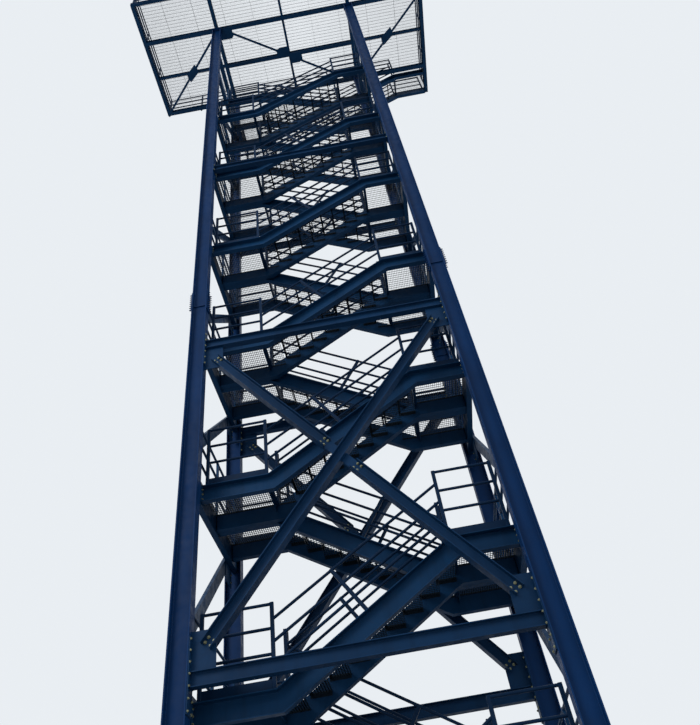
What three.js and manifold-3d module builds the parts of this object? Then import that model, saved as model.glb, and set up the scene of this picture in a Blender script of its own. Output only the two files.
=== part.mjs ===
// Steel stair tower of a fairground ride: four columns, fifteen dog-leg flights in two lanes and a
// long one behind them, guards, side frames, face bracing and a grating platform on top.
// Millimetres, +Z up, +X to the right along the front face, +Y into the depth of the tower.
// The origin is the underside of the front left base plate, on the centre of its column.

import * as THREE from "three";
import { mergeVertices } from "three/addons/utils/BufferGeometryUtils.js";
import Module from "manifold-3d";

const wasm = await Module();
wasm.setup();

// Driving dimensions
const STOREY = 3050; // two flights
const HALF_STOREY = STOREY / 2; // one flight
const STOREYS = 7;
const SPACING_X = 4385; // column centres along the front
const SPACING_Y = 2420; // column centres front to rear
const GAP = 0.3; // between pieces that bear on one another
const FUSE = 2; // how far joined plates run into one another

const COLUMN = { depth: 268, flange: 180, thick: 16, web: 10 };
const BASE_PLATE = { x: 460, y: 400, thick: 30 };
const CAP_PLATE = { x: 300, y: 220, thick: 20 };
const SPLICE = { z: 11300, height: 720, flangePlate: 16, webPlate: 10 };

const RISERS = 9;
const GOING = 264;
const RISER = HALF_STOREY / RISERS;
const RUN = RISERS * GOING; // between the two bends of a stringer
const SLOPE = Math.atan2(HALF_STOREY, RUN);
const LEFT_BEND = 1075; // X of the bends at the left landings
const RIGHT_BEND = LEFT_BEND + RUN;
const STRINGER = { depth: 276, flange: 88, thick: 13, web: 8 };
const SETBACK = 385; // column centre to the outer face of the outer stringer
const LANE = 735; // outside of web to outside of web
const UPPER_STAIR = { bend: 1173, end: 150, risers: 17, y: 2697, lane: 595, bays: 4 };
const GRATING = 32;
const TREAD_DEPTH = GOING + 15;
const JOIST = { height: 110, flange: 60, thick: 8 };
const END_PLATE = 12;
const FOOT = { thick: 12, past: 50 };

const SIDE_BEAM = { depth: 320, flange: 88, thick: 13, web: 8, face: 68 };
const SIDE_BRACE = { width: 180, leg: 55, thick: 8, frontRise: 420, rearRise: 60 };
const SIDE_GUSSET = { x: 10, y: 330, z: 360 };

const RAIL = 40;
const POST = 50;
const LANDING_RAILS = [438, 755, 1070]; // heights of rail tops above a landing
const FLIGHT_RAILS = [315, 600, 885]; // heights above the slope of the stringer
const TOE = { height: 123, thick: 8 };
const FRONT_GUARD_Y = 340; // centre of the outer guard, over the outer flange
const INNER_GUARD_IN = 44; // inner guard centre, from the outside of the inner web
const POST_LEFT_X = 1048; // the posts beside the bends
const POST_RIGHT_X = { front: 3434, rear: 3478 };
const GUARD_END = 150; // guards stop short of the columns

const FACE_BEAM = { depth: 180, flange: 110, thick: 12, web: 8 };
const FACE_BEAM_LEVELS = [4705, 10299, 16355]; // centres
const FACE_BRACE = { depth: 155, flange: 155, thick: 12, web: 8 };
const FACE_GUSSET = { x: 310, z: 480, thick: 12 };
const CENTRE_GUSSET = { x: 560, z: 460 };

const TOP_STRUT = { z: 24200, size: 120 };

const LAST_LANDING = (STOREYS + 0.5) * STOREY;
const PLATFORM_LEVEL = LAST_LANDING + UPPER_STAIR.risers * RISER; // walking surface
const DECK = 38;
const PLATFORM = { depth: 176, overhang: 2467, front: 1210 };
const MAIN_BEAM = { flange: 110, thick: 12, web: 8 };
const LIGHT_BEAM = { depth: 140, flange: 90, thick: 10, web: 7 };
const THIN_BEAM = { depth: 120, flange: 76, thick: 9, web: 6 };
const MIDDLE_BEAM_Y = 1185;
const PLAN_BRACE = { width: 70, thick: 12, start: 210 };
const PLAN_PLATE = 12;
const REAR_GUARD_END = 5709; // the rear guard stops short of the right edge, for the way out
const REAR_GUARD_FOOT = -190; // its posts are fixed to the outer side of the rear beam

// Paint and galvanising, as colour, roughness and metalness
const FINISH = {
  navy: [0x1d3560, 0.45, 0.1],
  deepNavy: [0x16294c, 0.5, 0.1],
  rail: [0x1a2f57, 0.45, 0.1],
  grating: [0x6f7f8c, 0.55, 0.6],
};

function finish(kind) {
  const [color, roughness, metalness] = FINISH[kind];
  return new THREE.MeshStandardMaterial({ color, roughness, metalness, flatShading: true });
}

// A closed three.js geometry as a solid
function solid(geometry) {
  geometry.deleteAttribute("normal");
  geometry.deleteAttribute("uv");
  const merged = mergeVertices(geometry, 1e-3);
  return new wasm.Manifold(
    new wasm.Mesh({
      numProp: 3,
      vertProperties: merged.attributes.position.array,
      triVerts: new Uint32Array(merged.index.array),
    }),
  );
}

function join(pieces) {
  return pieces.reduce((whole, piece) => whole.add(piece));
}

// A box between two corners
function box([x0, x1], [y0, y1], [z0, z1]) {
  const geometry = new THREE.BoxGeometry(x1 - x0, y1 - y0, z1 - z0);
  geometry.translate((x0 + x1) / 2, (y0 + y1) / 2, (z0 + z1) / 2);
  return solid(geometry);
}

function centred(middle, size) {
  return [middle - size / 2, middle + size / 2];
}

// A flat outline pushed along an axis. The outline's own two axes follow the pushed one in turn:
// x pushes an outline in (y, z), y pushes one in (z, x), z pushes one in (x, y).
const PUSH = {
  x: [new THREE.Vector3(0, 1, 0), new THREE.Vector3(0, 0, 1), new THREE.Vector3(1, 0, 0)],
  y: [new THREE.Vector3(0, 0, 1), new THREE.Vector3(1, 0, 0), new THREE.Vector3(0, 1, 0)],
  z: [new THREE.Vector3(1, 0, 0), new THREE.Vector3(0, 1, 0), new THREE.Vector3(0, 0, 1)],
};

function pushed(axis, outline, [from, to]) {
  const shape = new THREE.Shape(outline.map(([a, b]) => new THREE.Vector2(a, b)));
  const geometry = new THREE.ExtrudeGeometry(shape, { depth: to - from, bevelEnabled: false });
  geometry.translate(0, 0, from);
  geometry.applyMatrix4(new THREE.Matrix4().makeBasis(...PUSH[axis]));
  return solid(geometry);
}

// An outline given in (x, z), pushed along y
function sideways(outline, range) {
  return pushed("y", outline.map(([x, z]) => [z, x]), range);
}

// The outline of an I section about its centre, depth along the first axis
function sectionI({ depth, flange, thick, web }) {
  const d = depth / 2;
  const f = flange / 2;
  const w = web / 2;
  const t = d - thick;
  return [
    [-d, -f], [-t, -f], [-t, -w], [t, -w], [t, -f], [d, -f],
    [d, f], [t, f], [t, w], [-t, w], [-t, f], [-d, f],
  ];
}

// The outline of a channel: depth along the first axis, the toes towards the second
function channel({ depth, flange, thick, web }) {
  return [
    [0, 0], [depth, 0], [depth, flange], [depth - thick, flange],
    [depth - thick, web], [thick, web], [thick, flange], [0, flange],
  ];
}

// An I beam along x between two ends, its web upright
function beamX(section, [x0, x1], y, z) {
  return pushed("x", sectionI(section).map(([a, b]) => [y + b, z + a]), [x0, x1]);
}

function beamY(section, x, [y0, y1], z) {
  return pushed("y", sectionI(section).map(([a, b]) => [z + a, x + b]), [y0, y1]);
}

// A bar between two points. The second axis of its section lies along `side`, the first square to
// that and to the bar.
function bar(section, from, to, side) {
  const shape = new THREE.Shape(section.map(([a, b]) => new THREE.Vector2(a, b)));
  const start = new THREE.Vector3(...from);
  const along = new THREE.Vector3(...to).sub(start);
  const geometry = new THREE.ExtrudeGeometry(shape, { depth: along.length(), bevelEnabled: false });
  along.normalize();
  const second = new THREE.Vector3(...side);
  const first = new THREE.Vector3().crossVectors(second, along);
  geometry.applyMatrix4(new THREE.Matrix4().makeBasis(first, second, along).setPosition(start));
  return solid(geometry);
}

// A bar between two points of the plane y = 0, given as (x, z)
function barXZ(section, [xa, za], [xb, zb]) {
  return bar(section, [xa, 0, za], [xb, 0, zb], [0, 1, 0]);
}

function flat(first, second) {
  const [a, b] = [first / 2, second / 2];
  return [[-a, -b], [a, -b], [a, b], [-a, b]];
}

// Adds a finished solid to the model as one named mesh
const tower = new THREE.Group();

function piece(name, body, kind, place = {}) {
  const { vertProperties, triVerts, numProp } = body.asOriginal().simplify(1e-3).getMesh();
  const positions = new Float32Array((vertProperties.length / numProp) * 3);
  for (let i = 0; i < positions.length / 3; i++)
    positions.set(vertProperties.subarray(i * numProp, i * numProp + 3), i * 3);
  const geometry = new THREE.BufferGeometry();
  geometry.setAttribute("position", new THREE.BufferAttribute(positions, 3));
  geometry.setIndex(new THREE.BufferAttribute(new Uint32Array(triVerts), 1));
  const mesh = new THREE.Mesh(geometry, finish(kind));
  mesh.name = name;
  mesh.position.set(place.x ?? 0, place.y ?? 0, place.z ?? 0);
  mesh.rotation.z = place.turn ?? 0;
  if (place.mirror) mesh.scale.x = -1;
  tower.add(mesh);
}

// Levels of the platform beams
const PLATFORM_TOP = PLATFORM_LEVEL - DECK;
const UNDERSIDE = PLATFORM_TOP - PLATFORM.depth;

// Columns
const COLUMN_TOP = UNDERSIDE - GAP;

function column() {
  const { depth, thick, web } = COLUMN;
  const section = sectionI(COLUMN);
  const outside = depth / 2;
  const spliceZ = centred(SPLICE.z, SPLICE.height);
  const plateY = centred(0, COLUMN.flange - 20);
  const plateX = centred(0, depth - 2 * thick - 60);
  const parts = [
    pushed("z", section, [BASE_PLATE.thick - FUSE, COLUMN_TOP - CAP_PLATE.thick + FUSE]),
    box(centred(0, BASE_PLATE.x), centred(0, BASE_PLATE.y), [0, BASE_PLATE.thick]),
    box(centred(0, CAP_PLATE.x), centred(0, CAP_PLATE.y), [COLUMN_TOP - CAP_PLATE.thick, COLUMN_TOP]),
  ];
  for (const side of [-1, 1]) {
    const flangeMiddle = side * (outside + SPLICE.flangePlate / 2 - FUSE / 2);
    const webMiddle = side * (web / 2 + SPLICE.webPlate / 2 - FUSE / 2);
    parts.push(box(centred(flangeMiddle, SPLICE.flangePlate + FUSE), plateY, spliceZ));
    parts.push(box(plateX, centred(webMiddle, SPLICE.webPlate + FUSE), spliceZ));
  }
  return join(parts);
}

const COLUMNS = {
  front_left_column: [0, 0],
  front_right_column: [SPACING_X, 0],
  rear_left_column: [0, SPACING_Y],
  rear_right_column: [SPACING_X, SPACING_Y],
};
for (const [name, [x, y]] of Object.entries(COLUMNS)) piece(name, column(), "navy", { x, y });

// Dog-leg flights, drawn with the lower bend at the origin, rising along +x, the outer web at
// y = 0. A flight reaches `before` its lower bend and `after` its upper one.
function dogLeg({ before, after, risers, onGround }, upper, lower) {
  const shift = Math.tan(SLOPE / 2);
  const run = risers * GOING;
  const rise = risers * RISER;
  const start = (d) =>
    onGround ? [[d / Math.sin(SLOPE), 0]] : [[-before, -d], [d * shift, -d]];
  return [
    ...start(upper),
    [run + upper * shift, rise - upper],
    [run + after, rise - upper],
    [run + after, rise - lower],
    [run + lower * shift, rise - lower],
    ...start(lower).reverse(),
  ];
}

function stringer(shape, [webFrom, webTo], [flangeFrom, flangeTo]) {
  const { depth, thick } = STRINGER;
  const { before, after, risers, onGround } = shape;
  const ends = [[risers * GOING + after - END_PLATE / 2, risers * RISER]];
  if (!onGround) ends.push([END_PLATE / 2 - before, 0]);
  return join([
    sideways(dogLeg(shape, 0, depth), [webFrom, webTo]),
    sideways(dogLeg(shape, 0, thick), [flangeFrom, flangeTo]),
    sideways(dogLeg(shape, depth - thick, depth), [flangeFrom, flangeTo]),
    ...ends.map(([x, z]) => box(centred(x, END_PLATE), [flangeFrom, flangeTo], [z - depth, z])),
  ]);
}

// An angle under the grating, across the lane
function joist(x, z, across) {
  const { height, flange, thick } = JOIST;
  const outline = [
    [x, z], [x + flange, z], [x + flange, z - thick],
    [x + thick, z - thick], [x + thick, z - height], [x, z - height],
  ];
  return sideways(outline, across);
}

function flight(shape) {
  const { before, after, risers, lane, onGround } = shape;
  const { web, flange, depth } = STRINGER;
  const inside = [web - FUSE, lane - web + FUSE];
  const run = risers * GOING;
  const rise = risers * RISER;
  const parts = [
    stringer(shape, [0, web], [-flange, web]),
    stringer(shape, [lane - web, lane], [lane - web, lane + flange]),
  ];
  for (let step = 1; step < risers; step++) {
    const x = step * GOING;
    parts.push(box([x, x + TREAD_DEPTH], inside, [step * RISER - GRATING, step * RISER]));
  }
  const decks = [[[run, run + after], rise]];
  const joists = [[run + 12, rise], [run + after / 2, rise]];
  if (onGround) {
    const foot = [-FOOT.past, depth / Math.sin(SLOPE) + FOOT.past];
    parts.push(box(foot, [-flange, web + FOOT.past], [0, FOOT.thick]));
    parts.push(box(foot, [lane - web - FOOT.past, lane + flange], [0, FOOT.thick]));
  } else {
    decks.push([[-before, GOING - 12], 0]);
    joists.push([-JOIST.flange, 0], [-before / 2, 0]);
  }
  for (const [range, top] of decks) parts.push(box(range, inside, [top - GRATING, top]));
  for (const [x, top] of joists) parts.push(joist(x, top - GRATING + FUSE, inside));
  return join(parts);
}

const LEFT_REACH = LEFT_BEND - SIDE_BEAM.face - GAP;
const RIGHT_REACH = SPACING_X - SIDE_BEAM.face - RIGHT_BEND - GAP;
const FRONT_FLIGHT = { before: LEFT_REACH, after: RIGHT_REACH, risers: RISERS, lane: LANE };
const REAR_FLIGHT = { before: RIGHT_REACH, after: LEFT_REACH, risers: RISERS, lane: LANE };
for (let n = 1; n <= STOREYS; n++)
  piece(`front_flight_${n}`, flight(FRONT_FLIGHT), "deepNavy", {
    x: LEFT_BEND,
    y: SETBACK,
    z: (n - 0.5) * STOREY,
  });
for (let n = 1; n <= STOREYS + 1; n++)
  piece(`rear_flight_${n}`, flight({ ...REAR_FLIGHT, onGround: n === 1 }), "deepNavy", {
    x: RIGHT_BEND,
    y: SPACING_Y - SETBACK,
    z: (n - 1) * STOREY,
    turn: Math.PI,
  });

// Guards. Each is drawn in the plane y = 0, with heights from its own lower landing.
const HANDRAIL = LANDING_RAILS.at(-1);
const IN_PLANE = centred(0, RAIL);

function post(x, z) {
  return box(centred(x, POST), IN_PLANE, [z + GAP, z + HANDRAIL]);
}

function levelRails(x0, x1, z) {
  return LANDING_RAILS.map((h) => box([x0, x1], IN_PLANE, [z + h - RAIL, z + h]));
}

function toePlate(x0, x1, z) {
  return box([x0, x1], centred(0, TOE.thick), [z + GAP, z + TOE.height]);
}

// Rails along a slope that starts at `foot`, between x0 and x1, with posts square to the slope
function slopeRails(foot, x0, x1, sign, bays) {
  const edge = (x) => sign * (x - foot) * Math.tan(SLOPE);
  const rails = FLIGHT_RAILS.map((h) =>
    barXZ(flat(RAIL, RAIL), [x0, edge(x0) + h - RAIL / 2], [x1, edge(x1) + h - RAIL / 2]),
  );
  const reach = FLIGHT_RAILS.at(-1) * Math.cos(SLOPE);
  for (let bay = 1; bay < bays; bay++) {
    const x = x0 + ((x1 - x0) * bay) / bays;
    const base = [x, edge(x) + GAP / Math.cos(SLOPE)];
    const head = [x - sign * reach * Math.sin(SLOPE), edge(x) + reach * Math.cos(SLOPE)];
    rails.push(barXZ(flat(POST, RAIL), base, head));
  }
  return rails;
}

// A guard along one flight. It rises to the right or to the left, from x0 to x1, and `left` and
// `right` are the far ends of its landing rails where it has them.
function flightGuard({ rises, x0, x1, foot, risers = RISERS, bays = 2, groundZ = 0, left, right }) {
  const rise = risers * RISER;
  const leftZ = rises ? 0 : rise;
  const rightZ = rises ? rise : groundZ;
  const parts = [
    ...slopeRails(foot, x0, x1, rises ? 1 : -1, bays),
    post(x0, leftZ),
    post(x1, rightZ),
  ];
  for (const [from, to, end, z] of [[left, x0, left, leftZ], [x1, right, right, rightZ]])
    if (end !== undefined) parts.push(...levelRails(from, to, z), toePlate(from, to, z), post(end, z));
  return parts;
}

const ENDS = { left: GUARD_END, right: SPACING_X - GUARD_END };
const RISING = { rises: true, x0: POST_LEFT_X, x1: POST_RIGHT_X.front, foot: LEFT_BEND };

// The guard of a rear flight: the first one starts on the ground, the last one has the way to the
// upper stair on its landing.
function falling(n) {
  const groundZ = n === 1 ? FOOT.thick : 0;
  return { rises: false, x0: POST_LEFT_X, x1: POST_RIGHT_X.rear, foot: RIGHT_BEND, groundZ };
}

function rearGuard(n) {
  const guard = falling(n);
  if (n > 1) guard.right = ENDS.right;
  if (n <= STOREYS) guard.left = ENDS.left;
  return join(flightGuard(guard));
}

const FRONT_INNER_Y = SETBACK + LANE + INNER_GUARD_IN;
const REAR_INNER_Y = SPACING_Y - FRONT_INNER_Y;

// The inner guard of a rear flight, and of the front flight above it, joined at the landing
function innerGuards(n) {
  const last = n > STOREYS;
  const rear = flightGuard(last ? { ...falling(n), left: ENDS.left } : falling(n));
  const parts = rear.map((p) => p.translate([0, REAR_INNER_Y, 0]));
  if (last) return join(parts);
  parts.push(...flightGuard(RISING).map((p) => p.translate([0, FRONT_INNER_Y, HALF_STOREY])));
  for (const h of LANDING_RAILS) {
    const z = HALF_STOREY + h;
    parts.push(box(centred(POST_LEFT_X, RAIL), [FRONT_INNER_Y, REAR_INNER_Y], [z - RAIL, z]));
  }
  return join(parts);
}

for (let n = 1; n <= STOREYS; n++)
  piece(`front_guard_${n}`, join(flightGuard({ ...RISING, ...ENDS })), "rail", {
    y: FRONT_GUARD_Y,
    z: (n - 0.5) * STOREY,
  });
for (let n = 1; n <= STOREYS + 1; n++) {
  const z = (n - 1) * STOREY;
  piece(`rear_guard_${n}`, rearGuard(n), "rail", { y: SPACING_Y - FRONT_GUARD_Y, z });
  piece(`inner_guards_${n}`, innerGuards(n), "rail", { z });
}

// Side frames, drawn for the left side: beams at the landings, a diagonal in every storey and the
// guards at the ends of the landings. Heights are from the lowest landing of that side.
const WEB_FACE = COLUMN.web / 2 + GAP;
const BETWEEN_WEBS = [WEB_FACE, SPACING_Y - WEB_FACE];
const BETWEEN_FLANGES = [COLUMN.flange / 2 + 5, SPACING_Y - COLUMN.flange / 2 - 5];
const GUSSET_FACE = SIDE_BEAM.face - SIDE_BEAM.flange - SIDE_GUSSET.x; // where the diagonals lie

function sideBeam(z) {
  const { depth, face } = SIDE_BEAM;
  return pushed("y", channel(SIDE_BEAM).map(([a, b]) => [z - depth + a, face - b]), BETWEEN_WEBS);
}

function sideDiagonal(z) {
  const { width, leg, thick, frontRise, rearRise } = SIDE_BRACE;
  const section = channel({ depth: width, flange: leg, thick, web: thick });
  const outline = section.map(([a, b]) => [a - width / 2, -b]);
  const [y0, y1] = BETWEEN_WEBS;
  const from = new THREE.Vector3(GUSSET_FACE, y0, z + frontRise);
  const to = new THREE.Vector3(GUSSET_FACE, y1, z + STOREY + rearRise);
  const trim = to.clone().sub(from).setLength(width);
  return bar(outline, from.add(trim).toArray(), to.sub(trim).toArray(), [1, 0, 0]);
}

function sideGusset(y, z) {
  return box([GUSSET_FACE - FUSE, GUSSET_FACE + SIDE_GUSSET.x + FUSE], y, z);
}

function endGuard(z, [y0, y1]) {
  const x = SIDE_BEAM.face - POST / 2 - 3;
  const posts = [y0 + POST / 2, (y0 + y1) / 2, y1 - POST / 2];
  return [
    ...LANDING_RAILS.map((h) => box(centred(x, RAIL), [y0, y1], [z + h - RAIL, z + h])),
    box(centred(x, TOE.thick), [y0, y1], [z - FUSE, z + TOE.height]),
    ...posts.map((y) => box(centred(x, RAIL), centred(y, POST), [z - FUSE, z + HANDRAIL])),
  ];
}

// `topGuardFrom` is where the guard of the top landing starts, which may have one lane only.
function sideFrame(storeys, topGuardFrom) {
  const parts = [];
  const [y0, y1] = BETWEEN_FLANGES;
  for (let n = 0; n < storeys; n++) {
    const z = n * STOREY;
    const guardY = n === storeys - 1 ? [topGuardFrom, y1] : BETWEEN_FLANGES;
    parts.push(sideBeam(z), ...endGuard(z, guardY));
    if (n === storeys - 1) continue;
    const foot = [z - SIDE_BEAM.depth / 2, z + SIDE_BRACE.frontRise + SIDE_GUSSET.z];
    const head = z + STOREY + SIDE_BRACE.rearRise;
    parts.push(
      sideDiagonal(z),
      sideGusset([y0, y0 + SIDE_GUSSET.y], foot),
      sideGusset([y1 - SIDE_GUSSET.y, y1], [head - SIDE_BEAM.depth - SIDE_GUSSET.z, head]),
    );
  }
  return join(parts);
}

piece("left_side_frame", sideFrame(STOREYS + 1, REAR_INNER_Y), "deepNavy", { z: HALF_STOREY });
piece("right_side_frame", sideFrame(STOREYS, BETWEEN_FLANGES[0]), "deepNavy", {
  x: SPACING_X,
  z: STOREY,
  mirror: true,
});
for (const [side, x] of [["left", 0], ["right", SPACING_X]]) {
  const { z, size } = TOP_STRUT;
  piece(`${side}_top_strut`, box(centred(x, size), BETWEEN_WEBS, centred(z, size)), "deepNavy");
}

// Face bracing: the beams across the front and rear faces, and the crossed braces of one bay
const BETWEEN_COLUMNS = [COLUMN.depth / 2 + GAP, SPACING_X - COLUMN.depth / 2 - GAP];

function faceBeam(z) {
  return beamX(FACE_BEAM, BETWEEN_COLUMNS, 0, z);
}

function faceBracing() {
  const [low, high] = FACE_BEAM_LEVELS;
  const [left, right] = BETWEEN_COLUMNS;
  const half = FACE_BEAM.depth / 2;
  const corner = { x: FACE_GUSSET.x * 0.6, z: FACE_GUSSET.z * 0.75 };
  const middle = { x: SPACING_X / 2, z: (low + high) / 2 };
  const plate = (x, z) => box(x, centred(0, FACE_GUSSET.thick), z);
  const brace = (from, to) => barXZ(sectionI(FACE_BRACE), from, to);
  const foot = [low + half - FUSE, low + half + FACE_GUSSET.z];
  const head = [high - half - FACE_GUSSET.z, high - half + FUSE];
  const parts = [faceBeam(low), faceBeam(high)];
  for (const z of [foot, head]) {
    parts.push(plate([left, left + FACE_GUSSET.x], z));
    parts.push(plate([right - FACE_GUSSET.x, right], z));
  }
  const topLeft = [left + corner.x, high - corner.z];
  const bottomRight = [right - corner.x, low + corner.z];
  const stop = { x: CENTRE_GUSSET.x * 0.3, z: CENTRE_GUSSET.z * 0.48 };
  parts.push(
    brace([left + corner.x, low + corner.z], [right - corner.x, high - corner.z]),
    brace(topLeft, [middle.x - stop.x, middle.z + stop.z]),
    brace([middle.x + stop.x, middle.z - stop.z], bottomRight),
    plate(centred(middle.x, CENTRE_GUSSET.x), centred(middle.z, CENTRE_GUSSET.z)),
  );
  return join(parts);
}

for (const [face, y] of [["front", 0], ["rear", SPACING_Y]]) {
  piece(`${face}_bracing`, faceBracing(), "navy", { y });
  piece(`${face}_upper_beam`, faceBeam(FACE_BEAM_LEVELS[2]), "navy", { y });
}

// Platform on top: a grid of beams, braces in plan, the grating and its guards
const LEFT_EDGE = -PLATFORM.overhang;
const RIGHT_EDGE = SPACING_X + PLATFORM.overhang;
const EDGE_BEAM_X = {
  left: LEFT_EDGE + MAIN_BEAM.flange / 2,
  right: RIGHT_EDGE - MAIN_BEAM.flange / 2,
};
const UPPER_REAR = UPPER_STAIR.y + UPPER_STAIR.lane + STRINGER.flange;

function planBrace([xa, ya], [xb, yb]) {
  const z = UNDERSIDE + PLAN_BRACE.thick / 2;
  return bar(flat(PLAN_BRACE.width, PLAN_BRACE.thick), [xa, ya, z], [xb, yb, z], [0, 0, 1]);
}

// Corners in plan of the plates under the left half, where the braces meet a column head or cross
// the middle beam. The right half has the same plates, turned half a turn.
const PLAN_PLATES = [
  [[-134, 0], [490, 0], [490, 250], [430, 310], [-134, 310]],
  [[1780, 1185], [1780, 960], [1900, 890], [2200, 890], [2200, 1185]],
  [[-981, 1185], [-981, 1055], [-1041, 905], [-1381, 1185], [-1381, 1315], [-1321, 1465]],
];

function platformFrame() {
  const main = { depth: PLATFORM.depth, ...MAIN_BEAM };
  const mainZ = UNDERSIDE + PLATFORM.depth / 2;
  const thinZ = PLATFORM_TOP - THIN_BEAM.depth / 2;
  const across = [LEFT_EDGE, RIGHT_EDGE];
  const deep = [-PLATFORM.front, SPACING_Y];
  const plateZ = [UNDERSIDE, UNDERSIDE + PLAN_PLATE];
  const turned = ([x, y]) => [SPACING_X - x, 2 * MIDDLE_BEAM_Y - y];
  const turnedToColumn = ([x, y]) => [SPACING_X - x, SPACING_Y - y];
  const [head, ...crossings] = PLAN_PLATES;
  const plates = [head, head.map(turnedToColumn), ...crossings, ...crossings.map((c) => c.map(turned))];
  return join([
    ...[0, SPACING_Y].map((y) => beamX(main, across, y, mainZ)),
    beamX(main, [0, SPACING_X], MIDDLE_BEAM_Y, mainZ),
    beamX(THIN_BEAM, across, MIDDLE_BEAM_Y, thinZ),
    beamX(LIGHT_BEAM, across, -PLATFORM.front, PLATFORM_TOP - LIGHT_BEAM.depth / 2),
    ...[EDGE_BEAM_X.left, 0, SPACING_X].map((x) => beamY(main, x, deep, mainZ)),
    beamY(main, EDGE_BEAM_X.right, [-PLATFORM.front, UPPER_REAR], mainZ),
    beamY(THIN_BEAM, SPACING_X / 2, deep, thinZ),
    planBrace([EDGE_BEAM_X.left, SPACING_Y], [0, 0]),
    planBrace([PLAN_BRACE.start, 0], [SPACING_X - PLAN_BRACE.start, SPACING_Y]),
    planBrace([SPACING_X, SPACING_Y], [EDGE_BEAM_X.right, 0]),
    ...plates.map((outline) => pushed("z", outline, plateZ)),
  ]);
}

piece("platform_frame", platformFrame(), "deepNavy");
const GRATING_Z = [PLATFORM_TOP + GAP, PLATFORM_LEVEL];
const THRESHOLD_Y = [SPACING_Y, UPPER_STAIR.y - STRINGER.flange - GAP]; // to the way out
piece(
  "platform_grating",
  join([
    box([LEFT_EDGE, RIGHT_EDGE], [-PLATFORM.front, SPACING_Y + FUSE], GRATING_Z),
    box([REAR_GUARD_END + POST, RIGHT_EDGE], THRESHOLD_Y, GRATING_Z),
  ]),
  "grating",
);

// A straight guard along x, with evenly spaced posts
function straightGuard(length, bays, foot = GAP) {
  const inset = POST / 2;
  const posts = Array.from({ length: bays + 1 }, (_, i) => inset + (i * (length - POST)) / bays);
  return join([
    ...levelRails(0, length, 0),
    toePlate(0, length, 0),
    ...posts.map((x) => box(centred(x, POST), IN_PLANE, [foot, HANDRAIL])),
  ]);
}

// The guards along the front and the rear run from corner to corner, the side ones between them.
const GUARD_LINE = POST / 2 + 10;
const FRONT_LINE = GUARD_LINE - PLATFORM.front;
const REAR_LINE = SPACING_Y + (MAIN_BEAM.flange + RAIL) / 2 + GAP;
const SIDE_START = FRONT_LINE + RAIL / 2 + GAP;
const SIDE_END = { left: REAR_LINE - RAIL / 2 - GAP, right: UPPER_REAR - POST };
const PLATFORM_GUARDS = {
  front: { x: LEFT_EDGE + 10, y: FRONT_LINE, length: RIGHT_EDGE - LEFT_EDGE - 20, bays: 8 },
  rear: {
    x: LEFT_EDGE + 10,
    y: REAR_LINE,
    length: REAR_GUARD_END - LEFT_EDGE - 10,
    bays: 7,
    foot: REAR_GUARD_FOOT,
  },
  left: { x: LEFT_EDGE + GUARD_LINE, y: SIDE_START, length: SIDE_END.left - SIDE_START, bays: 3 },
  right: { x: RIGHT_EDGE - GUARD_LINE, y: SIDE_START, length: SIDE_END.right - SIDE_START, bays: 4 },
};
for (const [side, { x, y, length, bays, foot }] of Object.entries(PLATFORM_GUARDS)) {
  const turn = side === "left" || side === "right" ? Math.PI / 2 : 0;
  const body = straightGuard(length, bays, foot);
  piece(`platform_${side}_guard`, body, "rail", { x, y, z: PLATFORM_LEVEL, turn });
}

// The upper stair behind the tower, from the top landing to the platform, with its lower landing
const UPPER_RUN = UPPER_STAIR.risers * GOING;
const UPPER_BEND = UPPER_STAIR.bend + UPPER_RUN;
const UPPER_REACH = {
  before: UPPER_STAIR.bend - UPPER_STAIR.end,
  after: RIGHT_EDGE - MAIN_BEAM.flange - GAP - UPPER_BEND,
};
const UPPER_FLIGHT = { ...UPPER_REACH, risers: UPPER_STAIR.risers, lane: UPPER_STAIR.lane };
piece("upper_stair", flight(UPPER_FLIGHT), "deepNavy", {
  x: UPPER_STAIR.bend,
  y: UPPER_STAIR.y,
  z: LAST_LANDING,
});

const UPPER_GUARD = {
  rises: true,
  x0: UPPER_STAIR.bend - LEFT_BEND + POST_LEFT_X,
  x1: UPPER_BEND - RIGHT_BEND + POST_RIGHT_X.front,
  foot: UPPER_STAIR.bend,
  risers: UPPER_STAIR.risers,
  bays: UPPER_STAIR.bays,
};

// The near guard turns towards the guard of the last rear flight, to close the gap between them
function nearGuard() {
  const near = UPPER_STAIR.y - STRINGER.flange / 2;
  const start = SPACING_Y - SETBACK + STRINGER.flange + 10;
  const { x0 } = UPPER_GUARD;
  return join([
    ...flightGuard(UPPER_GUARD).map((p) => p.translate([0, near, 0])),
    ...LANDING_RAILS.map((h) => box(centred(x0, RAIL), [start, near], [h - RAIL, h])),
    box(centred(x0, TOE.thick), [start, near], [GAP, TOE.height]),
    box(centred(x0, RAIL), [start, start + POST], [GAP, HANDRAIL]),
  ]);
}

piece("upper_stair_near_guard", nearGuard(), "rail", { z: LAST_LANDING });

// The far guard turns round the left end of the landing, up to the rear column
function farGuard() {
  const left = UPPER_STAIR.end + POST / 2;
  const right = RIGHT_EDGE - MAIN_BEAM.flange - POST;
  const far = UPPER_STAIR.y + UPPER_STAIR.lane + STRINGER.flange / 2;
  const near = SPACING_Y + COLUMN.flange / 2 + 30;
  const side = [near, far];
  return join([
    ...flightGuard({ ...UPPER_GUARD, left, right }).map((p) => p.translate([0, far, 0])),
    ...LANDING_RAILS.map((h) => box(centred(left, RAIL), side, [h - RAIL, h])),
    box(centred(left, TOE.thick), side, [GAP, TOE.height]),
    box(centred(left, RAIL), [near, near + POST], [GAP, HANDRAIL]),
  ]);
}

piece("upper_stair_far_guard", farGuard(), "rail", { z: LAST_LANDING });

// The landing between the last rear flight and the upper stair
const LANDING_Y = [SPACING_Y - SETBACK + STRINGER.flange + GAP, UPPER_STAIR.y - STRINGER.flange - GAP];

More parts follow.
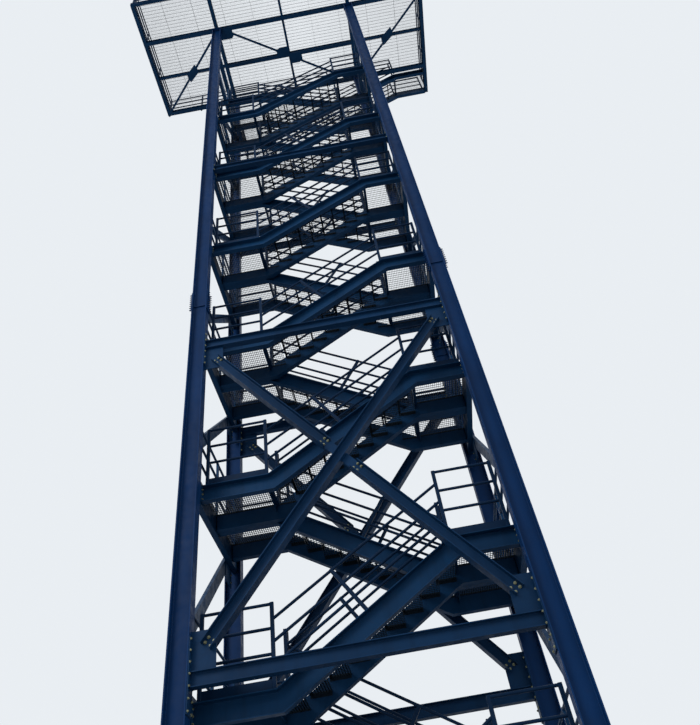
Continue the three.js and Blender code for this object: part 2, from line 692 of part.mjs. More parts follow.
function rearLanding() {
  const left = COLUMN.depth / 2 + GAP;
  const top = LAST_LANDING - GRATING + FUSE;
  const { depth, flange } = STRINGER;
  const under = channel(STRINGER).map(([a, b]) => [top - depth + a, b]);
  return join([
    pushed("y", under.map(([z, x]) => [z, left + x]), LANDING_Y),
    pushed("y", under.map(([z, x]) => [z, UPPER_STAIR.bend - flange + x]), LANDING_Y),
    box([left, UPPER_STAIR.bend], LANDING_Y, [LAST_LANDING - GRATING, LAST_LANDING]),
  ]);
}

piece("rear_landing", rearLanding(), "deepNavy");

export default tower;
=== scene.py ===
"""Detailed parts of a steel stair tower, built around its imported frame.

All lengths are in metres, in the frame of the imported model: x to the right along the front, y from
the front to the rear, z up, with the origin under the front left column.
"""
import math

import bpy
from bpy.props import FloatProperty, FloatVectorProperty, IntProperty, PointerProperty
from mathutils import Matrix, Vector


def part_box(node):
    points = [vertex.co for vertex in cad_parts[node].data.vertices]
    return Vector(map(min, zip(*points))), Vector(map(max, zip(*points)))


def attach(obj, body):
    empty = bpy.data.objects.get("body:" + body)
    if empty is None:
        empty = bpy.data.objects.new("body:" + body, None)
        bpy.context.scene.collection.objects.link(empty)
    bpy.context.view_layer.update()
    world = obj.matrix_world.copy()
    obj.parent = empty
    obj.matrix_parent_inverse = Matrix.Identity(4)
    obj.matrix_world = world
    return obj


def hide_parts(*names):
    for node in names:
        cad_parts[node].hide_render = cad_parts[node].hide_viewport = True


bl_info = {
    "name": "Fairground stair tower",
    "version": (1, 0, 0),
    "blender": (4, 5, 0),
    "location": "3D View > Sidebar > Stair tower",
    "description": "Builds the visible parts of a steel stair tower around its packed frame",
    "category": "Add Mesh",
}

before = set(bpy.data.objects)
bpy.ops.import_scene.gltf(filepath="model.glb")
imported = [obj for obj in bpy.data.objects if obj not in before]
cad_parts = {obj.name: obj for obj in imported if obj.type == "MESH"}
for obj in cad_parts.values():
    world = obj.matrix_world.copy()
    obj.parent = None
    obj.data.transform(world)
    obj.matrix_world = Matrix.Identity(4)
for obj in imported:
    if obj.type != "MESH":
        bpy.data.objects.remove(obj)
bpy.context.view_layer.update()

GAP = 0.0003  # between touching pieces, as in the frame
OVERLAP = 0.002  # where two forms of one piece meet

# The plan of the tower, from the middle of the front left column
COLUMN_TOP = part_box("front_left_column")[1].z
SPACING_X = 4.385
SPACING_Y = 2.420
STOREYS = 7
LAST_LANDING_STOREYS = STOREYS + 0.5
COLUMN = {"depth": 0.268, "flange": 0.180, "thick": 0.016, "web": 0.010}
COLUMN_FACE = COLUMN["depth"] / 2 + GAP

# Flights. The bends are where the slope starts and ends.
RISERS = 9
GOING = 0.264
RUN = RISERS * GOING
LEFT_BEND = 1.075
RIGHT_BEND = LEFT_BEND + RUN
SETBACK = 0.385
LANE = 0.735
SIDE_FACE = 0.068
LEFT_REACH = LEFT_BEND - SIDE_FACE - GAP
RIGHT_REACH = SPACING_X - SIDE_FACE - RIGHT_BEND - GAP

# Platform and upper stair
DECK_LOW, DECK_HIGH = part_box("platform_grating")
PLATFORM_LEVEL = DECK_HIGH.z
LEFT_EDGE, RIGHT_EDGE = DECK_LOW.x, DECK_HIGH.x
FRONT_EDGE = DECK_LOW.y
BEAM_FLANGE = 0.110
MIDDLE_BEAM_Y = 1.185
UPPER = {"bend": 1.173, "end": 0.150, "risers": 17, "y": 2.697, "lane": 0.595, "bays": 4}


class StairSizes(bpy.types.PropertyGroup):
    """Sizes of the stair's steelwork."""

    storey: FloatProperty(
        name="Storey", description="Height of two flights", default=3.05, unit="LENGTH",
    )
    stringer_depth: FloatProperty(
        name="Stringer depth", description="Depth of the channels that carry the treads",
        default=0.276, unit="LENGTH",
    )
    stringer_flange: FloatProperty(
        name="Stringer flange", description="Width of the channel's flanges",
        default=0.088, unit="LENGTH",
    )
    stringer_thick: FloatProperty(
        name="Flange thickness", description="Thickness of the channel's flanges",
        default=0.013, unit="LENGTH",
    )
    stringer_web: FloatProperty(
        name="Web thickness", description="Thickness of the channel's web",
        default=0.008, unit="LENGTH",
    )
    rail: FloatProperty(
        name="Rail diameter", description="Outside diameter of the guards' tubes",
        default=0.040, unit="LENGTH",
    )
    post: FloatProperty(
        name="Post width", description="Width of the guards' posts", default=0.050, unit="LENGTH",
    )
    toe_height: FloatProperty(
        name="Toe plate", description="Height of the toe plates", default=0.123, unit="LENGTH",
    )
    bolt: FloatProperty(
        name="Bolt", description="Thread diameter of the steelwork's bolts",
        default=0.020, unit="LENGTH",
    )


class GratingSizes(bpy.types.PropertyGroup):
    """Sizes of the bar gratings."""

    depth: FloatProperty(
        name="Depth", description="Depth of the bars", default=0.032, unit="LENGTH",
    )
    bar: FloatProperty(name="Bar", description="Thickness of a bar", default=0.002, unit="LENGTH")
    bar_pitch: FloatProperty(
        name="Bar spacing", description="Spacing of the bars", default=0.0335, unit="LENGTH",
    )
    rod: FloatProperty(
        name="Cross rod", description="Width of a cross rod", default=0.005, unit="LENGTH",
    )
    rod_pitch: FloatProperty(
        name="Rod spacing", description="Spacing of the cross rods", default=0.050, unit="LENGTH",
    )
    panel: FloatProperty(
        name="Panel", description="Width of a platform panel", default=0.94, unit="LENGTH",
    )
    deck_rod: FloatProperty(
        name="Platform rod", description="Width of a cross rod of the platform",
        default=0.006, unit="LENGTH",
    )
    deck_rod_pitch: FloatProperty(
        name="Platform rod spacing", description="Spacing of the platform's cross rods",
        default=0.100, unit="LENGTH",
    )


class PaintColours(bpy.types.PropertyGroup):
    """Colours of the coatings and metals. The navies of the stairs and the bracing are copies of the
    columns' paint with painted light and painted shade in them.
    """

    steel: FloatVectorProperty(
        name="Columns", description="Coating of the columns", subtype="COLOR",
        default=(0.0020, 0.022, 0.082),
    )
    # Stairs: the columns' navy, made greener for weathering and lighter than the columns as painted
    # light on the stringers' faces
    shade: FloatVectorProperty(
        name="Stairs", description="Coating of the flights, side frames and platform beams",
        subtype="COLOR", default=(0.0034, 0.028, 0.078),
    )
    # Bracing: a copy of the columns' navy tuned to the beams' look in the shade of their flanges, so
    # it holds painted shade
    bracing: FloatVectorProperty(
        name="Bracing", description="Coating of the face bracing", subtype="COLOR",
        default=(0.0032, 0.023, 0.066),
    )
    rails: FloatVectorProperty(
        name="Guards", description="Coating of the guards", subtype="COLOR",
        default=(0.0018, 0.014, 0.042),
    )
    grating: FloatVectorProperty(
        name="Gratings", description="Coating of the gratings", subtype="COLOR",
        default=(0.004, 0.010, 0.018),
    )
    zinc: FloatVectorProperty(
        name="Bolts", description="Zinc of the bolts", subtype="COLOR", default=(0.26, 0.27, 0.17),
    )
    gloss: FloatProperty(
        name="Roughness", description="Roughness of the coating", default=0.46, min=0.05, max=1.0,
    )
    rust: IntProperty(
        name="Weathering", description="Weathering in per cent", default=35, min=0, max=100,
    )


# Meshes
COATED, ZINC, GRATED = range(3)  # numbers of the finishes in a shell
ROUND_SIDES = 14
ARC_STEPS = 3
# Reach and radius in thread diameters, and number of sides, of a washer and its nut
WASHER_AND_NUT = ((0.15, 1.05, 10), (0.80, 0.90, 6))
THREAD_REACH, THREAD_RADIUS, THREAD_SIDES = 1.15, 0.5, 7


class Shell:
    """The faces of one piece, each with the number of its finish."""

    def __init__(self):
        self.points = []
        self.faces = []
        self.finishes = []
        self.smooth = []

    def add(self, points, faces, finish=COATED, smooth=False):
        first = len(self.points)
        self.points.extend(points)
        self.faces.extend([first + i for i in face] for face in faces)
        self.finishes.extend([finish] * len(faces))
        self.smooth.extend([smooth] * len(faces))

    def box(self, x, y, z, finish=COATED):
        points = [(a, b, c) for a in x for b in y for c in z]
        faces = ((0, 1, 3, 2), (4, 6, 7, 5), (0, 4, 5, 1), (2, 3, 7, 6), (0, 2, 6, 4), (1, 5, 7, 3))
        self.add(points, faces, finish)

    def loft(self, rings, finish=COATED, smooth=False):
        """Rings of equal length, joined in turn and closed at both ends."""
        count = len(rings[0])
        faces = []
        for r in range(len(rings) - 1):
            for i in range(count):
                j = (i + 1) % count
                low, high = r * count, (r + 1) * count
                faces.append((low + i, low + j, high + j, high + i))
        points = [tuple(p) for ring in rings for p in ring]
        self.add(points, faces, finish, smooth)
        last = (len(rings) - 1) * count
        self.add(rings[0], [tuple(reversed(range(count)))], finish)
        self.add(points[last:], [tuple(range(count))], finish)

    def bar(self, section, start, end, side, finish=COATED, smooth=False):
        """A straight bar. The second axis of its section lies along `side`."""
        start, end, second = Vector(start), Vector(end), Vector(side)
        first = second.cross(end - start).normalized()
        rings = [[p + first * a + second * b for a, b in section] for p in (start, end)]
        self.loft(rings, finish, smooth)

    def tube(self, start, end, diameter):
        along = Vector(end) - Vector(start)
        side = Vector((0, 1, 0)) if abs(along.normalized().y) < 0.9 else Vector((1, 0, 0))
        side = (side - along * side.dot(along) / along.length_squared).normalized()
        turns = [2 * math.pi * i / ROUND_SIDES for i in range(ROUND_SIDES)]
        section = [(diameter / 2 * math.cos(t), diameter / 2 * math.sin(t)) for t in turns]
        self.bar(section, start, end, side, smooth=True)

    def bolt(self, at, out, size, finish=ZINC, thread=THREAD_REACH):
        """A washer, a nut and the end of a thread, standing out of a face."""
        at, out = Vector(at), Vector(out).normalized()
        side = Vector((0, 0, 1)) if abs(out.z) < 0.9 else Vector((1, 0, 0))
        for reach, radius, sides in (*WASHER_AND_NUT, (thread, THREAD_RADIUS, THREAD_SIDES)):
            turns = [2 * math.pi * i / sides for i in range(sides)]
            section = [(radius * size * math.cos(t), radius * size * math.sin(t)) for t in turns]
            self.bar(section, at, at + out * size * reach, side, finish)

    def bolts(self, places, out, size, finish=ZINC, thread=THREAD_REACH):
        for at in places:
            self.bolt(at, out, size, finish, thread)

    def moved(self, matrix):
        """A copy in another place. A mirrored one has its faces turned outward again."""
        other = Shell()
        order = -1 if matrix.determinant() < 0 else 1
        other.points = [tuple(matrix @ Vector(p)) for p in self.points]
        other.faces = [list(f)[::order] for f in self.faces]
        other.finishes = list(self.finishes)
        other.smooth = list(self.smooth)
        return other

    def mesh(self, name, surfaces):
        mesh = bpy.data.meshes.new(name)
        mesh.from_pydata(self.points, [], self.faces)
        mesh.polygons.foreach_set("material_index", self.finishes)
        mesh.polygons.foreach_set("use_smooth", self.smooth)
        for surface in surfaces:
            mesh.materials.append(surface)
        mesh.update()
        return mesh


def shown(name, mesh, node, place=None):
    """Adds a piece to the scene and hides the node of the frame that it stands for."""
    piece = bpy.data.objects.new(name, mesh)
    bpy.context.scene.collection.objects.link(piece)
    if place is not None:
        piece.matrix_world = place
    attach(piece, "root")
    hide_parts(node)


def shown_shell(name, shell, surfaces, node, place=None):
    shown(name, shell.mesh(name, surfaces), node, place)


def middle(centre, size):
    return centre - size / 2, centre + size / 2


def quarter_arc():
    return [math.pi / 2 * i / ARC_STEPS for i in range(ARC_STEPS + 1)]


def channel_section(depth, flange, thick, web, fillet=0.011, toe=0.005):
    """Outline of a channel as (depth below its top, reach from the back of its web)."""
    arc = quarter_arc()
    upper = [(0.0, 0.0), (0.0, flange)]
    upper += [(thick - toe + toe * math.sin(a), flange - toe + toe * math.cos(a)) for a in arc]
    root_a, root_b = thick + fillet, web + fillet
    upper += [(root_a - fillet * math.cos(a), root_b - fillet * math.sin(a)) for a in arc]
    return upper + [(depth - a, b) for a, b in reversed(upper)]


def i_section(depth, flange, thick, web, fillet=0.012):
    """Outline of an I section, its depth along the first axis."""
    quarter = [(depth / 2, flange / 2), (depth / 2 - thick, flange / 2)]
    root_a, root_b = depth / 2 - thick - fillet, web / 2 + fillet
    quarter += [
        (root_a + fillet * math.cos(a), root_b - fillet * math.sin(a)) for a in quarter_arc()
    ]
    half = quarter + [(-a, b) for a, b in reversed(quarter)]
    return half + [(-a, -b) for a, b in half]


# Finishes
def nodes_of(material):
    material.use_nodes = True
    tree = material.node_tree
    tree.nodes.clear()
    out = tree.nodes.new("ShaderNodeOutputMaterial")
    shader = tree.nodes.new("ShaderNodeBsdfPrincipled")
    tree.links.new(shader.outputs["BSDF"], out.inputs["Surface"])
    return tree, shader


def noise(tree, scale, detail, stretch=(1, 1, 1)):
    where = tree.nodes.new("ShaderNodeTexCoord")
    mapping = tree.nodes.new("ShaderNodeMapping")
    mapping.inputs["Scale"].default_value = stretch
    tree.links.new(where.outputs["Object"], mapping.inputs["Vector"])
    texture = tree.nodes.new("ShaderNodeTexNoise")
    texture.inputs["Scale"].default_value = scale
    texture.inputs["Detail"].default_value = detail
    tree.links.new(mapping.outputs["Vector"], texture.inputs["Vector"])
    return texture.outputs["Fac"]


def ramp(tree, source, low, high, from_value=0.0, to_value=1.0):
    node = tree.nodes.new("ShaderNodeMapRange")
    levels = {"From Min": low, "From Max": high, "To Min": from_value, "To Max": to_value}
    for name, value in levels.items():
        node.inputs[name].default_value = value
    tree.links.new(source, node.inputs["Value"])
    return node.outputs["Result"]


def patches(tree, scale, detail, low, high, values=(0.0, 1.0), stretch=(1, 1, 1)):
    """A noise that goes from one value to the other between its low and high levels."""
    return ramp(tree, noise(tree, scale, detail, stretch), low, high, *values)


def mixed(tree, factor, first, second):
    """Two colours mixed by a factor. Each is a socket or a colour."""
    node = tree.nodes.new("ShaderNodeMix")
    node.data_type = "RGBA"
    tree.links.new(factor, node.inputs["Factor"])
    for socket, colour in ((node.inputs["A"], first), (node.inputs["B"], second)):
        if isinstance(colour, bpy.types.NodeSocket):
            tree.links.new(colour, socket)
        else:
            socket.default_value = (*colour, 1)
    return node.outputs["Result"]


def times(tree, first, second):
    node = tree.nodes.new("ShaderNodeMath")
    node.operation = "MULTIPLY"
    for socket, value in zip(node.inputs, (first, second)):
        if isinstance(value, bpy.types.NodeSocket):
            tree.links.new(value, socket)
        else:
            socket.default_value = value
    return node.outputs["Value"]


def bumped(tree, shader, scale, detail, strength, distance):
    height = noise(tree, scale, detail)
    node = tree.nodes.new("ShaderNodeBump")
    node.inputs["Strength"].default_value = strength
    node.inputs["Distance"].default_value = distance
    tree.links.new(height, node.inputs["Height"])
    tree.links.new(node.outputs["Normal"], shader.inputs["Normal"])


def lightened(colour, by):
    return tuple(min(1.0, c * by) for c in colour)


def tones(colour, shares):
    return [lightened(colour, share) for share in shares]


# Patches: scale, detail, and the levels between which they come up
CLOUDS = (0.9, 5, 0.3, 0.7)
RUN_MARKS = (6.0, 6, 0.5, 0.72)
RUN_STRETCH = (1, 1, 0.07)
# Top faces: partly a dusting, partly a painted sky sheen, in patches
GRIME_SPOTS = (14.0, 8, 0.52, 0.75)
DUST_AND_SHEEN_PATCHES = (4.0, 6, 0.35, 0.75)
GLOSS_PATCHES = (9.0, 6, 0.3, 0.7)
MOTTLE = (60.0, 5, 0.35, 0.65)
ZINC_GLOSS = (120.0, 4, 0.3, 0.7)
# Tones are shares of a finish's own colour
CLOUD_TONES, RUN_TONE, MOTTLE_TONES = (0.82, 1.22), 0.45, (0.62, 1.1)
GRIME, GRIME_SHARE = (0.018, 0.024, 0.032), 0.35
# Light grey of top faces: partly a dusting, partly a painted sky sheen
DUST_AND_SHEEN, DUST_AND_SHEEN_COVER, TOP_FACES = (0.10, 0.11, 0.12), (0.1, 0.7), (0.55, 0.95)
SPECULAR_LEVEL = 0.07
ROUGHNESS_SHARES = (0.8, 1.35)
ZINC_METALLIC, ZINC_ROUGHNESS = 0.65, (0.38, 0.6)
ORANGE_PEEL = {"scale": 190.0, "detail": 2, "strength": 0.12, "distance": 0.0006}
ZINC_GRAIN = {"scale": 260.0, "detail": 3, "strength": 0.2, "distance": 0.0004}


def coating(name, colour, roughness, weathering):
    """A dull coating on steel: cloudy, with run marks, fine orange peel, and on top faces a lighter
    grey that is partly a dusting and partly a painted sky sheen.
    """
    material = bpy.data.materials.new(name)
    tree, shader = nodes_of(material)
    clouds = patches(tree, *CLOUDS)
    runs = patches(tree, *RUN_MARKS, stretch=RUN_STRETCH)
    grime = patches(tree, *GRIME_SPOTS)
    base = mixed(tree, clouds, *tones(colour, CLOUD_TONES))
    streaked = mixed(tree, times(tree, runs, weathering), base, lightened(colour, RUN_TONE))
    stained = mixed(tree, times(tree, grime, GRIME_SHARE * weathering), streaked, GRIME)
    # Top faces go light grey: partly a dusting, partly a painted sheen of the sky
    normal = tree.nodes.new("ShaderNodeNewGeometry")
    split = tree.nodes.new("ShaderNodeSeparateXYZ")
    tree.links.new(normal.outputs["Normal"], split.inputs["Vector"])
    upward = ramp(tree, split.outputs["Z"], *TOP_FACES)
    dust_and_sheen = times(tree, upward, patches(tree, *DUST_AND_SHEEN_PATCHES, DUST_AND_SHEEN_COVER))
    with_dust_and_sheen = mixed(tree, dust_and_sheen, stained, DUST_AND_SHEEN)
    tree.links.new(with_dust_and_sheen, shader.inputs["Base Color"])
    shader.inputs["Specular IOR Level"].default_value = SPECULAR_LEVEL
    spread = [min(1.0, roughness * share) for share in ROUGHNESS_SHARES]
    tree.links.new(patches(tree, *GLOSS_PATCHES, spread), shader.inputs["Roughness"])
    bumped(tree, shader, **ORANGE_PEEL)
    return material


def zinc(name, colour):
    """Bolt zinc: mottled grey with a dull yellow cast."""
    material = bpy.data.materials.new(name)
    tree, shader = nodes_of(material)
    tone = mixed(tree, patches(tree, *MOTTLE), *tones(colour, MOTTLE_TONES))
    tree.links.new(tone, shader.inputs["Base Color"])
    shader.inputs["Metallic"].default_value = ZINC_METALLIC
    tree.links.new(patches(tree, *ZINC_GLOSS, ZINC_ROUGHNESS), shader.inputs["Roughness"])
    bumped(tree, shader, **ZINC_GRAIN)
    return material


def finishes():
    """The finishes by name, made once."""
    colours = bpy.context.scene.tower_colours
    found = bpy.data.materials.get
    made = {}
    # The navies of the stairs and the bracing are copies of the columns' paint, holding painted
    # light and painted shade
    for name, colour in (
        ("column_coating", colours.steel),
        ("stair_coating", colours.shade),
        ("bracing_coating", colours.bracing),
        ("guard_coating", colours.rails),
        ("grating_coating", colours.grating),
    ):
        made[name] = found(name) or coating(name, colour, colours.gloss, colours.rust / 100)
    made["bolt_zinc"] = found("bolt_zinc") or zinc("bolt_zinc", colours.zinc)
    return made


def surfaces_of(coat, *others):
    """The finishes of a shell, in the order of their numbers."""
    made = finishes()
    return [made[name] for name in (coat, "bolt_zinc", *others)]


# Stairs
def slope():
    return math.atan2(bpy.context.scene.stair_sizes.storey / 2, RUN)


def riser():
    return bpy.context.scene.stair_sizes.storey / 2 / RISERS


STAIR_SURFACES = ("stair_coating", "grating_coating")
EDGE_BARS = 1.4  # thickness of a panel's edge, in bars
ROD_DEPTH = 1.8  # depth of a cross rod, in its widths
ROD_DROP = 0.001


def grating(shell, x, y, top, rod=None, rod_pitch=None):
    """A panel of bar grating. Its bars run along y and its cross rods along x."""
    sizes = bpy.context.scene.grating_sizes
    rod, rod_pitch = rod or sizes.rod, rod_pitch or sizes.rod_pitch
    z = (top - sizes.depth, top)
    edge = sizes.bar * EDGE_BARS
    for ends in ((x[0], x[0] + edge), (x[1] - edge, x[1])):
        shell.box(ends, y, z, GRATED)
    for ends in ((y[0], y[0] + edge), (y[1] - edge, y[1])):
        shell.box((x[0] + edge, x[1] - edge), ends, z, GRATED)
    count = max(1, round((x[1] - x[0]) / sizes.bar_pitch))
    pitch = (x[1] - x[0]) / count
    for i in range(1, count):
        shell.box(middle(x[0] + i * pitch, sizes.bar), (y[0] + edge, y[1] - edge), z, GRATED)
    rods = max(1, round((y[1] - y[0]) / rod_pitch))
    step = (y[1] - y[0]) / rods
    rod_z = (top - rod * ROD_DEPTH, top - ROD_DROP)
    for i in range(1, rods):
        shell.box((x[0] + edge, x[1] - edge), middle(y[0] + i * step, rod), rod_z, GRATED)


TREAD_DEPTH = GOING + 0.015
TREAD_PLATE = {"thick": 0.003, "depth": 0.070}
TREAD_BOLT = {"size": 0.012, "in": 0.055, "down": 0.050}
NOSING = {"thick": 0.003, "depth": 0.034, "width": 0.026, "rib": 0.0012}


def tread(shell, x, y, top):
    """A tread: grating, end plates with their bolts, and a nosing along the front."""
    thick = TREAD_PLATE["thick"]
    grating(shell, (x, x + TREAD_DEPTH), (y[0] + thick, y[1] - thick), top)
    for wall, inward in ((y[0], 1), (y[1], -1)):
        face = wall + thick * inward
        plate_z = (top - TREAD_PLATE["depth"], top)
        shell.box((x, x + TREAD_DEPTH), sorted((wall, face)), plate_z, GRATED)
        for along in (TREAD_BOLT["in"], TREAD_DEPTH - TREAD_BOLT["in"]):
            place = (x + along, face, top - TREAD_BOLT["down"])
            shell.bolt(place, (0, inward, 0), TREAD_BOLT["size"], GRATED)
    shell.box((x - NOSING["thick"], x), y, (top - NOSING["depth"], top), GRATED)
    shell.box((x, x + NOSING["width"]), y, (top, top + NOSING["rib"]), GRATED)


END_PLATE = 0.012
END_BOLT = {"size": 0.016, "out": 0.058, "down": (0.055, 0.138, 0.221)}


def stringer(shell, shape, wall, outward):
    """A channel along a flight, with its bends. Its back is at y = wall, its toes point outward."""
    sizes = bpy.context.scene.stair_sizes
    depth = sizes.stringer_depth
    section = channel_section(
        depth, sizes.stringer_flange + sizes.stringer_web, sizes.stringer_thick, sizes.stringer_web
    )
    angle = slope()
    shift = math.tan(angle / 2)
    run, rise = shape["risers"] * GOING, shape["risers"] * riser()
    stations = [
        lambda d: (-shape["before"], -d),
        lambda d: (d * shift, -d),
        lambda d: (run + d * shift, rise - d),
        lambda d: (run + shape["after"], rise - d),
    ]
    if shape["on_ground"]:
        stations[:2] = [lambda d: (d / math.sin(angle), 0.0)]
    rings = []
    for station in stations:
        ring = []
        for below, reach in section:
            x, z = station(below)
            ring.append((x, wall + outward * reach, z))
        rings.append(ring if outward > 0 else ring[::-1])
    shell.loft(rings)
    ends = [(run + shape["after"], rise, -1)]
    if not shape["on_ground"]:
        ends.append((-shape["before"], 0.0, 1))
    far = wall + outward * (sizes.stringer_web + sizes.stringer_flange)
    across = wall + outward * END_BOLT["out"]
    for x, z, inward in ends:
        face = x + inward * END_PLATE
        shell.box(sorted((x, face)), sorted((wall, far)), (z - depth, z))
        places = [(face, across, z - below) for below in END_BOLT["down"]]
        shell.bolts(places, (inward, 0, 0), END_BOLT["size"])


JOIST = {"depth": 0.110, "flange": 0.060, "thick": 0.008}


def joist(shell, x, top, across):
    """An angle under a landing, its flange on top."""
    depth, flange, thick = -JOIST["depth"], JOIST["flange"], JOIST["thick"]
    outline = ((0, 0), (flange, 0), (flange, -thick), (thick, -thick), (thick, depth), (0, depth))
    shell.loft([[(x + a, y, top + b) for a, b in outline] for y in across])


UPPER_JOIST_IN, LOWER_JOIST_IN = 0.012, 0.060
STEP_JOINT, LANDING_JOINT = 0.012, 0.001
FOOT_PLATE = {"reach": 0.050, "thick": 0.012}
FOOT_BOLT = {"size": 0.014, "in_x": 0.025, "in_y": 0.030}


def flight_shell(before, after, risers, lane, on_ground=False):
    """A flight with its lower bend at the origin, rising along x, its outer web at y = 0."""
    sizes = bpy.context.scene.stair_sizes
    shell = Shell()
    shape = {"before": before, "after": after, "risers": risers, "on_ground": on_ground}
    web = sizes.stringer_web
    stringer(shell, shape, web, -1)
    stringer(shell, shape, lane - web, 1)
    inside = (web, lane - web)
    run, rise = risers * GOING, risers * riser()
    for step in range(1, risers):
        tread(shell, step * GOING, inside, step * riser())
    depth = bpy.context.scene.grating_sizes.depth
    grating(shell, (run + LANDING_JOINT, run + after), inside, rise)
    joists = [(run + UPPER_JOIST_IN, rise)]
    if on_ground:
        past, top = FOOT_PLATE["reach"], FOOT_PLATE["thick"]
        reach = (-past, sizes.stringer_depth / math.sin(slope()) + past)
        flange = sizes.stringer_flange
        for y in ((-flange, web + past), (lane - web - past, lane + flange)):
            shell.box(reach, y, (0.0, top))
            for x in (reach[0] + FOOT_BOLT["in_x"], reach[1] - FOOT_BOLT["in_x"]):
                rows = (y[0] + FOOT_BOLT["in_y"], y[1] - FOOT_BOLT["in_y"])
                shell.bolts([(x, row, top) for row in rows], (0, 0, 1), FOOT_BOLT["size"])
    else:
        grating(shell, (-before, GOING - STEP_JOINT), inside, 0.0)
        joists.append((-LOWER_JOIST_IN, 0.0))
    for x, top in joists:
        joist(shell, x, top - depth, inside)
    return shell


class TOWER_OT_flights(bpy.types.Operator):
    """Build the flights of both lanes with their stringers, treads and landings"""

    bl_idname = "tower.flights"
    bl_label = "Flights"

    def execute(self, context):
        surfaces = surfaces_of(*STAIR_SURFACES)
        storey = context.scene.stair_sizes.storey
        front = flight_shell(LEFT_REACH, RIGHT_REACH, RISERS, LANE)
        rear = flight_shell(RIGHT_REACH, LEFT_REACH, RISERS, LANE)
        first = flight_shell(RIGHT_REACH, LEFT_REACH, RISERS, LANE, True)
        front_mesh = front.mesh("front_flight", surfaces)
        rear_mesh = rear.mesh("rear_flight", surfaces)
        first_mesh = first.mesh("first_flight", surfaces)
        for n in range(1, STOREYS + 1):
            place = Matrix.Translation((LEFT_BEND, SETBACK, (n - 0.5) * storey))
            flight = f"front_flight_{n}"
            shown(f"{flight}_steps", front_mesh, flight, place)
        turn = Matrix.Rotation(math.pi, 4, "Z")
        for n in range(1, STOREYS + 2):
            place = Matrix.Translation((RIGHT_BEND, SPACING_Y - SETBACK, (n - 1) * storey)) @ turn
            flight, mesh = f"rear_flight_{n}", first_mesh if n == 1 else rear_mesh
            shown(f"{flight}_steps", mesh, flight, place)
        return {"FINISHED"}


class TOWER_OT_upper_stair(bpy.types.Operator):
    """Build the long stair behind the tower, from the last landing to the platform"""

    bl_idname = "tower.upper_stair"
    bl_label = "Upper stair"

    def execute(self, context):
        after = RIGHT_EDGE - BEAM_FLANGE - GAP - (UPPER["bend"] + UPPER["risers"] * GOING)
        shell = flight_shell(UPPER["bend"] - UPPER["end"], after, UPPER["risers"], UPPER["lane"])
        level = LAST_LANDING_STOREYS * context.scene.stair_sizes.storey
        place = Matrix.Translation((UPPER["bend"], UPPER["y"], level))
        surfaces = surfaces_of(*STAIR_SURFACES)
        name, slot = "upper_stair_steps", "dark_navy_steel"
        shown_shell(name, shell, surfaces, "upper_stair", place)
        return {"FINISHED"}


class TOWER_OT_rear_landing(bpy.types.Operator):
    """Build the landing between the last flight and the upper stair"""

    bl_idname = "tower.rear_landing"
    bl_label = "Rear landing"

    def execute(self, context):
        sizes = context.scene.stair_sizes
        low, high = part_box("rear_landing")
        shell = Shell()
        section = channel_section(
            sizes.stringer_depth, sizes.stringer_flange, sizes.stringer_thick, sizes.stringer_web
        )
        top = high.z - context.scene.grating_sizes.depth
        for x in (low.x, high.x - sizes.stringer_flange):
            shell.loft([[(x + b, y, top - a) for a, b in section] for y in (low.y, high.y)])
        grating(shell, (low.x, high.x), (low.y, high.y), high.z)
        surfaces = surfaces_of(*STAIR_SURFACES)
        shown_shell("rear_landing_deck", shell, surfaces, "rear_landing")
        return {"FINISHED"}


# Guards
GUARD_END = 0.150
FRONT_GUARD_Y = 0.340
INNER_GUARD_IN = 0.044
POST_LEFT_X = 1.048
POST_RIGHT_X = {"front": 3.434, "rear": 3.478}
LANDING_RAILS = (0.438, 0.755, 1.070)
FLIGHT_RAILS = (0.315, 0.600, 0.885)
HANDRAIL = LANDING_RAILS[-1]
TOE_THICK = 0.008


def rail_tube(shell, start, end):
    shell.tube(start, end, bpy.context.scene.stair_sizes.rail)


def post_section(across, along, corner=0.006):
    """A square tube with its corners cut."""
    a, b = across / 2, along / 2
    return (
        (a, b - corner), (a - corner, b), (corner - a, b), (-a, b - corner),
        (-a, corner - b), (corner - a, -b), (a - corner, -b), (a, corner - b),
    )


def post(shell, x, foot, top, y=0.0):
    """An upright post of a guard along x."""
    sizes = bpy.context.scene.stair_sizes
    ring = post_section(sizes.post, sizes.rail)
    shell.loft([[(x + a, y + b, z) for a, b in ring] for z in (foot, top)])


def level_rails(shell, x0, x1, z, y=0.0):
    rail = bpy.context.scene.stair_sizes.rail
    for height in LANDING_RAILS:
        rail_tube(shell, (x0, y, z + height - rail / 2), (x1, y, z + height - rail / 2))


def toe_plate(shell, x0, x1, z, y=0.0):
    height = bpy.context.scene.stair_sizes.toe_height
    shell.box((x0, x1), middle(y, TOE_THICK), (z + GAP, z + height))


